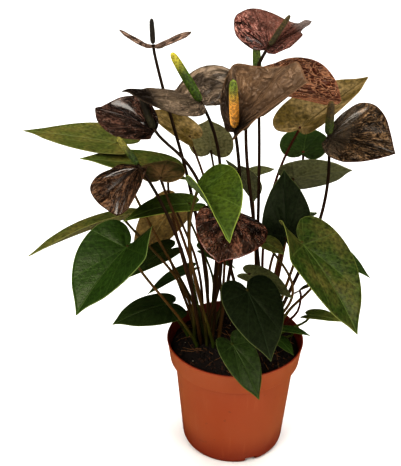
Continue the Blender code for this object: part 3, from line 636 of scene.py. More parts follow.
def sheet_normals(grid, centre):
    """Unit normals of a sheet given as rings of points round a centre point."""
    around = np.roll(grid, -1, 1) - np.roll(grid, 1, 1)
    inner = np.concatenate([np.broadcast_to(centre, (1,) + grid.shape[1:]), grid[:-1]])
    outer = np.concatenate([grid[1:], grid[-1:]])
    normal = np.cross(outer - inner, around)
    return normal / np.maximum(np.linalg.norm(normal, axis=2, keepdims=True), LEAST_NORMAL)


print("outline formula ready")

# %% [markdown]
# ## The quilted sheet
#
# Rings of the outline, drawn in towards the joint, make the sheet. It could be subdivided and
# sculpted instead, but rings and rays already lie the way the leaf grows: every second ray from
# the joint is a nerve, and the tissue between two nerves is puffed up. The relief is pushed out
# along the sheet's own normals, so folded halves are quilted too.
#
# The sheet also keeps where each point lies when it is flat. "flat" is the distance along and
# across in units of 100 mm, so that a pattern can be given in millimetres. "rays" numbers the
# rays all round, and "shares" is the share of the way from joint to margin.

# %% Sheet
UV_MM = 100
UV_UNIT = UV_MM * MM
WAVE_HEIGHT, WAVE_WIDTH, WAVE_COUNT, CALM_MIDDLE = 1.4 * MM, 90 * MM, 3, 0.2
RELIEF_START, FULL_RELIEF_WIDTH, RIM_SHARE = 14 * MM, 60 * MM, 0.93
RING_POWER, PANEL_POWER = 0.85, 0.8
Sheet = namedtuple("Sheet", "grid middle normal face flat rays shares")


def blade_sheet(blade, relief, phase, ray_steps, ring_count):
    """Rings of points of the quilted sheet, with their normals, flat spots, rays and shares."""
    outline = blade.outline()
    curve, rays = smooth_outline(outline, ray_steps)
    centre = JOINT_SHARE * blade.length
    shares = (np.arange(1, ring_count + 1) / ring_count) ** RING_POWER
    u = centre + shares[:, None] * (curve[None, :, 0] - centre)
    v = shares[:, None] * curve[None, :, 1]
    grid = blade.point(u, v)
    middle = blade.point(centre, 0.0)
    normal = sheet_normals(grid, middle)
    if (normal[0] @ blade.face).mean() < 0:
        normal = -normal
    share, ray = shares[:, None], rays[None, :]
    panel = 2 * np.abs(np.sin(math.pi * ray / 2)) ** PANEL_POWER - 1
    panel = panel * np.sin(math.pi * np.minimum(share, RIM_SHARE))
    panel = panel * np.minimum(1, share * np.hypot(*curve.T)[None, :] / RELIEF_START)
    wave = np.sin(2 * math.pi * WAVE_COUNT * ray / len(outline) + phase) * share ** 3
    calm = np.minimum(1, np.abs(v) / (CALM_MIDDLE * blade.width))
    relief = relief * min(1, blade.width / FULL_RELIEF_WIDTH)
    lift = relief * panel + WAVE_HEIGHT * wave * calm * blade.width / WAVE_WIDTH
    grid = grid + lift[..., None] * normal
    flat = np.stack([np.vstack([np.full_like(u[:1], centre), u]),
                     np.vstack([np.zeros_like(v[:1]), v])], axis=-1) / UV_UNIT
    return Sheet(grid, middle, normal, blade.face, flat.tolist(), rays.tolist(), [0.0, *shares])


print("sheet formula ready")

# %% [markdown]
# ## A piece while it is put together
#
# Blender can join objects after they are made, but a leaf that grows with its stem is one mesh
# from the start. A skin collects points, faces and finishes, and turns them into a piece that
# rides on the plant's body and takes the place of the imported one. Its two UV maps are "blade",
# the flat spots of the sheet, and "ray", the number of the nerve and the share of the way out.

# %% Skin
class Skin:
    """Points, faces, finishes and UVs of a piece while it is being put together."""

    def __init__(self):
        self.points, self.faces, self.finish, self.flat, self.ray = [], [], [], [], []

    def face(self, corners, finish, flat, ray):
        """Add a face with its finish and the UVs of its corners."""
        self.faces.append(corners)
        self.finish.append(finish)
        self.flat += flat
        self.ray += ray

    def make(self, name, finishes):
        """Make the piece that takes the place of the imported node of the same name."""
        mesh = bpy.data.meshes.new(name)
        mesh.from_pydata([tuple(p) for p in self.points], [], self.faces)
        mesh.polygons.foreach_set("material_index", self.finish)
        mesh.polygons.foreach_set("use_smooth", [True] * len(self.faces))
        for title, values in (("blade", self.flat), ("ray", self.ray)):
            layer = mesh.uv_layers.new(name=title)
            layer.data.foreach_set("uv", np.array(values, float).ravel())
        for finish in finishes:
            mesh.materials.append(finish)
        mesh.validate()
        piece = bpy.data.objects.new(name + "_look", mesh)
        bpy.context.scene.collection.objects.link(piece)
        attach(piece, "root")
        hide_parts(name)


print("skin ready")

# %% [markdown]
# ## A solid blade
#
# A leaf is less than a millimetre thick. A Solidify modifier could give it that, but the back
# of a blade has a finish of its own, so both sheets are laid here, 0.7 mm apart, and a rim
# closes them.

# %% Blade
BLADE_THICKNESS = 0.7 * MM


def add_sheet(skin, sheet, side):
    """Add one of a blade's two sheets, finish 0 above or 1 below, and return its outer ring."""
    offset = (1 - 2 * side) * BLADE_THICKNESS / 2
    rings, around = sheet.grid.shape[:2]
    first = len(skin.points)
    skin.points.append(sheet.middle + offset * sheet.face)
    skin.points += list((sheet.grid + offset * sheet.normal).reshape(-1, 3))
    numbers = [[first] * around]
    numbers += [[first + 1 + ring * around + k for k in range(around)] for ring in range(rings)]
    for ring in range(rings):
        for k in range(around):
            k2 = (k + 1) % around
            spots = [(ring, k), (ring + 1, k), (ring + 1, k2), (ring, k2)]
            rays = [sheet.rays[k]] * 2 + [sheet.rays[k] + sheet.rays[1]] * 2
            if ring == 0:
                spots.pop()
            if side == 1:
                spots, rays = spots[::-1], rays[:len(spots)][::-1]
            skin.face([numbers[r][s] for r, s in spots], side, [sheet.flat[r][s] for r, s in spots],
                      [(ray / 2, sheet.shares[r]) for ray, (r, _) in zip(rays, spots)])
    return numbers[-1]


def add_blade(skin, blade, relief, phase, ray_steps, ring_count):
    """Add the two sheets of a blade and the rim that closes them."""
    sheet = blade_sheet(blade, relief, phase, ray_steps, ring_count)
    upper, lower = add_sheet(skin, sheet, 0), add_sheet(skin, sheet, 1)
    margin = sheet.flat[-1]
    for k in range(len(upper)):
        k2 = (k + 1) % len(upper)
        skin.face([upper[k], lower[k], lower[k2], upper[k2]], 1, [margin[k]] * 2 + [margin[k2]] * 2,
                  [(sheet.rays[k] / 2, 1.0)] * 4)


print("a blade is", round(BLADE_THICKNESS / MM, 1), "mm thick")

# %% [markdown]
# ## A round tube
#
# A curve with a bevel would draw a stem too. Rings of points along the path are used instead,
# because they let the radius change from ring to ring and give the tube the same two UV maps:
# the way along and round, and the share of its length.

# %% Tube
TUBE_SIDES, FIRST_SIDE = 10, (0.3, 1.0, 0.2)


def add_tube(skin, path, radii, finish, sides=TUBE_SIDES):
    """Add a round tube along a path; its UVs are the way along in 100 mm and round in turns."""
    path, radii = np.array(path), np.array(radii)
    first = len(skin.points)
    heading = np.gradient(path, axis=0)
    side = unit(np.cross(heading[0], FIRST_SIDE))
    travel = np.concatenate([[0], np.cumsum(np.linalg.norm(np.diff(path, axis=0), axis=1))])
    for spot, way, radius in zip(path, heading, radii):
        way = unit(way)
        side = unit(side - (side @ way) * way)
        other = np.cross(way, side)
        for k in range(sides):
            turn = 2 * math.pi * k / sides
            skin.points.append(spot + radius * (math.cos(turn) * side + math.sin(turn) * other))
    for ring in range(len(path) - 1):
        a = first + ring * sides
        t0, t1 = travel[ring] / UV_UNIT, travel[ring + 1] / UV_UNIT
        for k in range(sides):
            k2 = (k + 1) % sides
            flat = [(t0, k / sides), (t0, (k + 1) / sides), (t1, (k + 1) / sides), (t1, k / sides)]
            ends = ring / (len(path) - 1), (ring + 1) / (len(path) - 1)
            star = [(0, ends[0]), (0, ends[0]), (0, ends[1]), (0, ends[1])]
            skin.face([a + k, a + k2, a + sides + k2, a + sides + k], finish, flat, star)
    last = first + (len(path) - 1) * sides
    cap = [last + k for k in range(sides)]
    skin.face(cap, finish, [(travel[-1] / UV_UNIT, 0)] * sides, [(0, 1.0)] * sides)
    foot = [first + k for k in reversed(range(sides))]
    skin.face(foot, finish, [(0, 0)] * sides, [(0, 0.0)] * sides)


print("a tube has", TUBE_SIDES, "sides unless it is told otherwise")

# %% [markdown]
# ## The colours of the leaves
#
# No two leaves of an old plant are alike. New ones are bright, grown ones deep green, and the
# oldest turn olive, grey and tan. One material with a random tint would be less work, but each
# leaf of this plant is at an age of its own, so each age gets a row. Some looks also stand in for
# light: the pale one is painted light on a leaf that the light shines through from behind, and
# two leaves in shade wear the bright and the tan look, lighter than their own colour, as painted
# light. A row gives the colours of the upper side and of the back, how strongly the patches show,
# and how dull and how reflective the wax is.

# %% Leaf looks
LeafLook = namedtuple("LeafLook", "top vein margin patch under under_patch patches roughness gloss")
LEAF_LOOKS = {
    "bright": LeafLook("374411", "56682e", "82903c", "283a10", "4f5c34", "3f4a2a", 0.6, 0.38, 0.3),
    "green": LeafLook("22340f", "3a4f1d", "62703a", "172809", "3c4722", "2e3819", 0.6, 0.34, 0.3),
    "mottled": LeafLook("343e15", "56602e", "767a3e", "50461e", "4a4c28", "565026", 0.75, 0.38, 0.3),
    "front": LeafLook("25320e", "4c5a28", "6a7036", "4a441e", "4a4c28", "565026", 0.85, 0.36, 0.3),
    "olive": LeafLook("3f451b", "5c6232", "70703e", "5c5226", "5a5430", "6c6236", 0.75, 0.4, 0.3),
    "dark": LeafLook("233112", "3a4a22", "5c6830", "131e09", "2c3420", "222a18", 0.6, 0.36, 0.3),
    "black": LeafLook("161d0d", "252f1c", "545c34", "0a0f06", "1f2714", "171e10", 0.5, 0.4, 0.12),
    "grey": LeafLook("474829", "5a5a3e", "646444", "35371f", "4c4c30", "3c3e24", 0.6, 0.48, 0.12),
    # A paler green painted as the light that shines through the leaf from behind.
    "lit_through": LeafLook("5f5b36", "70704c", "7c7a54", "48442a", "6c6844", "565236", 0.7, 0.48, 0.12),
    # Partly painted light: a lighter tan than the leaf's own brown, for a leaf that faces away into
    # shade.
    "tan": LeafLook("68522a", "7c683e", "827048", "4a3c1c", "7a6236", "5c4a28", 0.7, 0.46, 0.3),
    "yellow": LeafLook("463814", "564826", "786438", "86704a", "64502a", "a8906a", 0.8, 0.42, 0.3),
    "young": LeafLook("23260f", "4c3e24", "7c6440", "6a4e30", "40301a", "2f2312", 0.7, 0.36, 0.3),
}
print(len(LEAF_LOOKS), "leaf looks")

# %% [markdown]
# ## The veins of a leaf
#
# Nerves fan out from the joint, side veins leave the midrib every 11 mm, and a fine net with
# meshes of about 4 mm lies between them. A painted picture could hold them, but it would blur
# when the eye comes near. Here each is a pattern of the blade's own distances, so it stays
# sharp and follows the leaf through every bend.

# %% Veins
SIDE_VEIN_MM, VEIN_SLANT, NET_MM = 11.0, 0.85, 4.0


def leaf_veins(tree, flat, star):
    """Where the veins and the fine net run: each is a cover from 0 to 1."""
    along = add(tree, "ShaderNodeSeparateXYZ", {0: flat}, "X")
    sideways = add(tree, "ShaderNodeSeparateXYZ", {0: flat}, "Y")
    number = add(tree, "ShaderNodeSeparateXYZ", {0: star}, "X")
    share = add(tree, "ShaderNodeSeparateXYZ", {0: star}, "Y")
    across = add(tree, "ShaderNodeMath", {0: sideways}, operation="ABSOLUTE")
    lean = add(tree, "ShaderNodeMath", {0: across, 1: VEIN_SLANT}, operation="MULTIPLY")
    slant = add(tree, "ShaderNodeMath", {0: along, 1: lean}, operation="SUBTRACT")
    rungs = add(tree, "ShaderNodeMath", {0: slant, 1: UV_MM / SIDE_VEIN_MM}, operation="MULTIPLY")
    rung = add(tree, "ShaderNodeMath", {0: rungs, 1: 0.5}, operation="PINGPONG")
    side = add(tree, "ShaderNodeMapRange", {0: rung, 1: 0.02, 2: 0.08, 3: 0.22, 4: 0.0},
               interpolation_type="SMOOTHSTEP")
    nerve = add(tree, "ShaderNodeMath", {0: number, 1: 0.5}, operation="PINGPONG")
    spread = add(tree, "ShaderNodeMath", {0: nerve, 1: share}, operation="MULTIPLY")
    nerves = add(tree, "ShaderNodeMapRange", {0: spread, 1: 0.004, 2: 0.02, 3: 0.4, 4: 0.0},
                 interpolation_type="SMOOTHSTEP")
    midrib = add(tree, "ShaderNodeMapRange", {0: across, 1: 0.003, 2: 0.012, 3: 0.85, 4: 0.0},
                 interpolation_type="SMOOTHSTEP")
    both = add(tree, "ShaderNodeMath", {0: side, 1: nerves}, operation="MAXIMUM")
    veins = add(tree, "ShaderNodeMath", {0: both, 1: midrib}, operation="MAXIMUM")
    cells = add(tree, "ShaderNodeTexVoronoi", {"Vector": flat, "Scale": UV_MM / NET_MM}, "Distance",
                feature="DISTANCE_TO_EDGE")
    net = add(tree, "ShaderNodeMapRange", {0: cells, 1: 0.0, 2: 0.12, 3: 0.12, 4: 0.0})
    return veins, net


print("side veins every", SIDE_VEIN_MM, "mm and a net of", NET_MM, "mm")

# %% [markdown]
# ## The wax of a leaf
#
# An anthurium leaf is a waxy, leathery sheet. It is glossy above, so the soft boxes show on it
# as broad pale shine, and matte and paler below. Patches of about 30 mm and flecks of a few
# millimetres vary its green, and the margin of an older leaf turns yellow. Veins sink into the
# upper side and stand out below. The bump holds them, and the same patches swell it a little,
# because no leaf is flat. Real relief for that would cost many more faces.

# %% Leaf finish
PATCH_MM, FLECK_MM, FLECK_DARK, FLECK_LIGHT = 30.0, 3.5, 0.65, 0.75
SWELL, LEAF_BUMP, BACK_ROUGHNESS, BACK_GLOSS = 8.0, 0.5 * MM, 0.62, 0.15


def leaf_finish(name, look, upper):
    """Waxy leaf surface: patches, flecks, veins, net and margin, above or below."""
    top, patch = (look.top, look.patch) if upper else (look.under, look.under_patch)
    roughness, gloss = (look.roughness, look.gloss) if upper else (BACK_ROUGHNESS, BACK_GLOSS)
    material, tree, shader = new_material(name)
    flat = add(tree, "ShaderNodeUVMap", uv_map="blade")
    star = add(tree, "ShaderNodeUVMap", uv_map="ray")
    veins, net = leaf_veins(tree, flat, star)
    spot = add(tree, "ShaderNodeTexCoord", out="Object")
    cloud = add(tree, "ShaderNodeTexNoise", {"Vector": spot, "Scale": 1 / (PATCH_MM * MM),
                                             "Detail": 5.0, "Roughness": 0.6}, "Fac")
    blotch = add(tree, "ShaderNodeMapRange", {0: cloud, 1: 0.42, 2: 0.66, 3: 0.0, 4: look.patches})
    ground = paint(tree, linear(top), [(blotch, patch)])
    fleck = add(tree, "ShaderNodeTexNoise", {"Vector": spot, "Scale": 1 / (FLECK_MM * MM),
                                             "Detail": 4.0}, "Fac")
    shade = add(tree, "ShaderNodeMapRange", {0: fleck, 1: 0.32, 2: 0.68,
                                             3: 1 - FLECK_DARK * look.patches,
                                             4: 1 + FLECK_LIGHT * look.patches})
    mottled = add(tree, "ShaderNodeVectorMath", {0: ground, "Scale": shade}, operation="SCALE")
    share = add(tree, "ShaderNodeSeparateXYZ", {0: star}, "Y")
    edge = add(tree, "ShaderNodeMapRange", {0: share, 1: 0.975, 2: 1.0, 3: 0.0, 4: 0.8},
               interpolation_type="SMOOTHSTEP")
    colour = paint(tree, mottled, [(net, look.vein), (veins, look.vein), (edge, look.margin)])
    dull = add(tree, "ShaderNodeMapRange", {0: cloud, 1: 0.3, 2: 0.7, 3: roughness - 0.05,
                                            4: roughness + 0.1})
    sink = -1.0 if upper else 1.0
    groove = add(tree, "ShaderNodeMath", {0: veins, 1: sink}, operation="MULTIPLY")
    fine = add(tree, "ShaderNodeMath", {0: net, 1: sink}, operation="MULTIPLY")
    lines = add(tree, "ShaderNodeMath", {0: groove, 1: fine}, operation="ADD")
    swell = add(tree, "ShaderNodeMath", {0: cloud, 1: SWELL}, operation="MULTIPLY")
    height = add(tree, "ShaderNodeMath", {0: lines, 1: swell}, operation="ADD")
    bump = add(tree, "ShaderNodeBump", {"Height": height, "Strength": 0.7, "Distance": LEAF_BUMP})
    feed(tree, shader, {"Base Color": colour, "Roughness": dull, "Normal": bump, "IOR": 1.45,
                        "Specular IOR Level": gloss, "Specular Tint": linear("e6edc8")})
    return material


LEAF_FINISHES = {
    name: (leaf_finish("waxy_leaf_" + name, look, True),
           leaf_finish("matte_leaf_back_" + name, look, False))
    for name, look in LEAF_LOOKS.items()
}
print(2 * len(LEAF_FINISHES), "leaf finishes")

# %% [markdown]
# ## Stem finish
#
# Petioles are round, smooth and waxy. They are green in the crown, and the older ones turn
# brown or red higher up. The peduncles of the blooms are nearly black at the top. A gradient
# texture could do it, but the "ray" map of a tube already holds the share of its length, so two
# spans of that share mix three colours. Fine dark lines run along them.

# %% Stem finish
StemLook = namedtuple("StemLook", "foot middle top")
STEM_LOOKS = {
    "green_stem": StemLook("3f5a1a", "4f5a18", "46521a"),
    "olive_stem": StemLook("48581c", "6a4a1e", "443f18"),
    "brown_stem": StemLook("4a4e1c", "643c18", "38230f"),
    "red_stem": StemLook("66391c", "54241a", "521f16"),
    "dark_peduncle": StemLook("5c401c", "331c10", "1e100a"),
}
STREAK_MM, STEM_BUMP = 0.8, 0.3 * MM
STREAK_SCALE = (4.0, 12.5 / STREAK_MM, 1.0)


def stem_finish(name, look):
    """Waxy stem: three colours along it and fine streaks lengthways."""
    material, tree, shader = new_material(name)
    star = add(tree, "ShaderNodeUVMap", uv_map="ray")
    flat = add(tree, "ShaderNodeUVMap", uv_map="blade")
    share = add(tree, "ShaderNodeSeparateXYZ", {0: star}, "Y")
    lower = add(tree, "ShaderNodeMapRange", {0: share, 1: 0.03, 2: 0.3})
    upper = add(tree, "ShaderNodeMapRange", {0: share, 1: 0.55, 2: 1.0})
    stretch = add(tree, "ShaderNodeMapping", {"Vector": flat, "Scale": STREAK_SCALE})
    streak = add(tree, "ShaderNodeTexNoise", {"Vector": stretch, "Scale": 1.6, "Detail": 3.0}, "Fac")
    shade = add(tree, "ShaderNodeMapRange", {0: streak, 1: 0.35, 2: 0.65, 3: 0.0, 4: 0.8})
    colour = paint(tree, linear(look.foot), [(lower, look.middle), (upper, look.top),
                                             (shade, "140d06")])
    bump = add(tree, "ShaderNodeBump", {"Height": streak, "Strength": 0.25, "Distance": STEM_BUMP})
    feed(tree, shader, {"Base Color": colour, "Roughness": 0.42, "Normal": bump,
                        "Specular IOR Level": 0.3, "Specular Tint": linear("f0dfc0")})
    return material


STEM_FINISHES = {name: stem_finish(name, look) for name, look in STEM_LOOKS.items()}
print(len(STEM_FINISHES), "stem finishes")

# %% [markdown]
# ## The leaves
#
# Each leaf is one piece: its blade and its petiole. They could be two pieces that touch, but the
# real ones grow as one. The petiole tapers, thickens again just under the blade where the real
# one has its bending knuckle, and widens at the foot where it sheathes the crown. A large leaf
# gets more steps from ray to ray and more rings than a small one.

# %% Leaves
LEAF_DRESS = {
    "leaf_far_left": ("olive", "olive_stem"), "leaf_high_left": ("mottled", "brown_stem"),
    "leaf_high_yellow": ("yellow", "brown_stem"), "leaf_high_back": ("lit_through", "brown_stem"),
    "leaf_front_bright": ("bright", "olive_stem"), "leaf_young_brown": ("young", "brown_stem"),
    "leaf_shade_mid": ("grey", "brown_stem"), "leaf_shade_small": ("grey", "brown_stem"),
    "leaf_right_back": ("dark", "red_stem"), "leaf_right_grey": ("grey", "brown_stem"),
    "leaf_upright_dark": ("black", "brown_stem"), "leaf_front_right": ("front", "olive_stem"),
    "leaf_small_centre": ("mottled", "olive_stem"), "leaf_front_low": ("black", "olive_stem"),
    "leaf_behind_low": ("grey", "brown_stem"), "leaf_over_rim": ("dark", "green_stem"),
    "leaf_seedling_front": ("green", "green_stem"), "leaf_seedling_right": ("green", "green_stem"),
    "leaf_low_right": ("mottled", "green_stem"), "leaf_low_right_dark": ("young", "red_stem"),
    "leaf_low_left": ("dark", "green_stem"), "leaf_narrow_left": ("dark", "green_stem"),
    "leaf_brown_left": ("dark", "olive_stem"), "leaf_front_left": ("green", "olive_stem"),
    # leaf_mid_left lies in shade among the others, and its bright look is painted light.
    "leaf_strip_left": ("olive", "olive_stem"), "leaf_mid_left": ("bright", "olive_stem"),
    "leaf_mid_left_brown": ("tan", "brown_stem"), "leaf_shade_low": ("dark", "green_stem"),
    "leaf_right_low_back": ("dark", "olive_stem"), "leaf_high_right": ("yellow", "red_stem"),
    "leaf_back_right": ("green", "olive_stem"), "leaf_back_left": ("green", "olive_stem"),
}
STEM_DEPTH, STEM_TAPER, PETIOLE_END = 15 * MM, 0.72, 0.8 * MM
KNUCKLE_SWELL, KNUCKLE_MM, SHEATH_SWELL, SHEATH_MM = 0.3, 7.0, 0.25, 22.0
LEAF_RELIEF, WAVE_PHASE, LARGE_LEAF_MM = 0.9 * MM, 1.7, 45
LARGE_MESH, SMALL_MESH = (6, 16), (4, 9)


def stem_path(stem, end):
    """The route from under the peat to just above the joint, with its radius at each point."""
    foot = np.array([[stem.root[0], stem.root[1], PEAT_LEVEL - STEM_DEPTH]])
    tip = (stem.blade.joint + stem.arrival * end)[None]
    path = np.concatenate([foot, stem.route[:-1], tip])
    steps = np.linalg.norm(np.diff(path, axis=0), axis=1)
    travel = np.concatenate([[0], np.cumsum(steps)])
    share = np.clip((travel - STEM_DEPTH) / (travel[-1] - STEM_DEPTH), 0, 1)
    radius = stem.radius * (1 - (1 - STEM_TAPER) * share)
    return path, radius, travel


face_total = 0
for index, (row, stem) in enumerate(zip(rows, stems)):
    if not isinstance(row, Leaf):
        continue
    skin = Skin()
    mesh = LARGE_MESH if row.width > LARGE_LEAF_MM else SMALL_MESH
    add_blade(skin, stem.blade, LEAF_RELIEF, WAVE_PHASE * index, *mesh)
    path, radius, travel = stem_path(stem, PETIOLE_END)
    left = (travel[-1] - travel) / MM
    radius = radius * (1 + KNUCKLE_SWELL * np.exp(-(left / KNUCKLE_MM) ** 2))
    radius = radius * (1 + SHEATH_SWELL * np.exp(-((travel - STEM_DEPTH) / MM / SHEATH_MM) ** 2))
    add_tube(skin, path, radius, 2)
    look, stalk = LEAF_DRESS[row.name]
    skin.make(row.name, [*LEAF_FINISHES[look], STEM_FINISHES[stalk]])
    face_total += len(skin.faces)
print(len(LEAVES), "leaves,", face_total, "faces")

# %% [markdown]
# ## The colours of the spathes
#
# A spathe is a leathery leaf turned into a flag. This plant's are black-brown to maroon and
# glossy when they open, and age to a matte grey-brown, so one material for all would be wrong
# and each bloom has a row. A row gives the ground and the colours of bulges, net, streaks,
# underside and rim. The bulge colour is a painted sheen on the domes of the cells, and the pale
# streak colour is partly real streaks and partly painted glints. Then come the patches at tip
# and base, each with the place of its edge in millimetres from the joint, which NO_TIP and
# NO_BASE put off the blade. The rest is the wax, the depth of the quilting, and how large, long,
# lined and mottled the cells are; mottle also sets how deep the painted shade and how bright the
# painted highlight of the folds go. Plain says how far the side towards the tip has lost its
# pattern and taken the paler sheen colour.

# %% Spathe looks
SPATHE_COLUMNS = ("ground bulge net streak under rim tip tip_mm base base_mm roughness coat quilt "
                  "cells stretch lines mottle plain")
SpatheLook = namedtuple("SpatheLook", SPATHE_COLUMNS)
NO_TIP, NO_BASE = 900, -90
SPATHE_LOOKS = {
    "top_left": SpatheLook("5c4434", "846a58", "2a1810", "a08878", "6c5040", "4a3626", "5c4434",
                           NO_TIP, "5c4434", NO_BASE, 0.36, 0.3, 0.8, 4.0, 2.0, 0.6, 0.8, 0.2),
    "top_right": SpatheLook("57271c", "6c463a", "200a06", "a87c70", "583430", "4a241c", "8c7c74",
                            58, "57271c", NO_BASE, 0.22, 0.5, 1.8, 4.6, 2.4, 0.7, 0.85, 0.8),
    "left": SpatheLook("1c0d08", "44291c", "070302", "60463a", "34201a", "3c241a", "1c0d08",
                       NO_TIP, "1c0d08", NO_BASE, 0.17, 0.8, 2.2, 2.2, 1.6, 0.5, 0.8, 0),
    "upper_centre": SpatheLook("554838", "6c5c4a", "1a110a", "827060", "5c4a3a", "3a2e22", "120c08",
                               62, "544636", NO_BASE, 0.36, 0.25, 1.1, 3.8, 2.4, 0.5, 0.55, 0.25),
    "front_centre": SpatheLook("513c28", "624a36", "24170d", "7e6850", "5a4630", "6a4c34", "513c28",
                               NO_TIP, "1c120a", 20, 0.36, 0.25, 0.9, 3.4, 2.2, 0.4, 0.65, 0.45),
    "back_centre": SpatheLook("2c0d07", "44180d", "ac7a56", "50281a", "5e3c2c", "7e4c34", "2c0d07",
                              NO_TIP, "2c0d07", NO_BASE, 0.3, 0.4, 1.3, 6.4, 1.7, 0.62, 0.4, 0.1),
    "right": SpatheLook("160d07", "56402a", "050201", "70583e", "3e2e20", "3a1c12", "1a1009",
                        NO_TIP, "54483a", 22, 0.22, 0.7, 2.0, 3.0, 1.8, 0.7, 0.95, 0),
    "left_low": SpatheLook("201009", "5a3824", "0c0603", "806046", "3c2819", "4a3226", "1b0e07",
                           NO_TIP, "1b0e07", NO_BASE, 0.16, 1.0, 2.8, 2.2, 1.6, 0.5, 0.72, 0),
    "centre_low": SpatheLook("2a130c", "4c3024", "0c0503", "704c3a", "40281f", "74362a", "2a130c",
                             NO_TIP, "2a130c", NO_BASE, 0.24, 0.7, 2.2, 2.0, 1.6, 0.5, 0.9, 0),
}
print(len(SPATHE_LOOKS), "spathe looks")

# %% [markdown]
# ## The quilting of a spathe
#
# Cells of 3 to 8 mm bulge between sunken net veins, like the squares of a quilt. They could be
# sculpted one by one, but a cell texture gives the whole net. It is laid over the "ray" map, so
# its cells follow the rays from the joint, and a noise shifts that map a little, so that no row
# of cells is straight. Three noises over the same map, each stretched its own way, are the long
# streaks, the fine fibres and the broad folds.

# %% Quilt
WANDER, WANDER_SCALE = 0.16, 7.0
STREAK_STRETCH, FIBRE_STRETCH, FOLD_WIDTH = (11.0, 1.6, 1.0), (14.0, 18.0, 1.0), 1.1
Quilt = namedtuple("Quilt", "lines rise streaks fibres folds")


def quilt_pattern(tree, look, flat, star):
    """The net lines and the bulges of the cells, and the streaks, fibres and folds over them."""
    wander = add(tree, "ShaderNodeTexNoise", {"Vector": flat, "Scale": WANDER_SCALE,
                                              "Detail": 2.0}, "Color")
    shift = add(tree, "ShaderNodeMixRGB", {"Fac": WANDER, "Color1": star, "Color2": wander},
                blend_type="LINEAR_LIGHT")
    size = (look.cells, look.cells * look.stretch, 1.0)
    stretch = add(tree, "ShaderNodeMapping", {"Vector": shift, "Scale": size})
    cells = add(tree, "ShaderNodeTexVoronoi", {"Vector": stretch, "Scale": 1.0}, "Distance",
                feature="DISTANCE_TO_EDGE")
    lines = add(tree, "ShaderNodeMapRange", {0: cells, 1: 0.01, 2: 0.11, 3: look.lines, 4: 0.0},
                interpolation_type="SMOOTHSTEP")
    rise = add(tree, "ShaderNodeMapRange", {0: cells, 1: 0.0, 2: 0.45, 3: 0.0, 4: 1.0},
               interpolation_type="SMOOTHSTEP")
    noises = []
    for scale, detail, roughness, distortion in (
            (STREAK_STRETCH, 3.0, 0.5, 0.0), (FIBRE_STRETCH, 5.0, 0.65, 0.0),
            ((FOLD_WIDTH * look.cells, look.cells, 1.0), 2.5, 0.55, 0.3)):
        spread = add(tree, "ShaderNodeMapping", {"Vector": shift, "Scale": scale})
        noises.append(add(tree, "ShaderNodeTexNoise", {
            "Vector": spread, "Scale": 1.0, "Detail": detail, "Roughness": roughness,
            "Distortion": distortion}, "Fac"))
    return Quilt(lines, rise, *noises)


print("a quilt has", len(Quilt._fields), "patterns")

# %% [markdown]
# ## The layers of colour on a spathe
#
# Up close a spathe is never one brown. Bulges are paler, a painted sheen on their domes,
# streaks run from the joint, and fibres fleck it light and dark; the pale streaks and light
# flecks are partly painted glint. The net is darker, or golden on the maroon bloom. Broad folds
# then darken and brighten all of it, painted shade in their hollows and painted highlight on
# their crests, less so towards the tip, which is smoother. At last come a patch at the base, a
# patch at the tip and a thin dry rim. Baked pictures could hold all this, but layers can be changed one
# at a time while they are compared with the photograph.

# %% Spathe colours
# How dark the painted shade in the fold hollows and how bright the painted highlight on the fold crests
# can go.
FOLD_SHADE_DEPTH, FOLD_HIGHLIGHT_GAIN, TIP_FOLD_LEVEL, TIP_CALM = 0.95, 1.7, 1.1, 0.55
BASE_FADE, TIP_FADE = (-0.06, 0.1), (-0.08, 0.08)


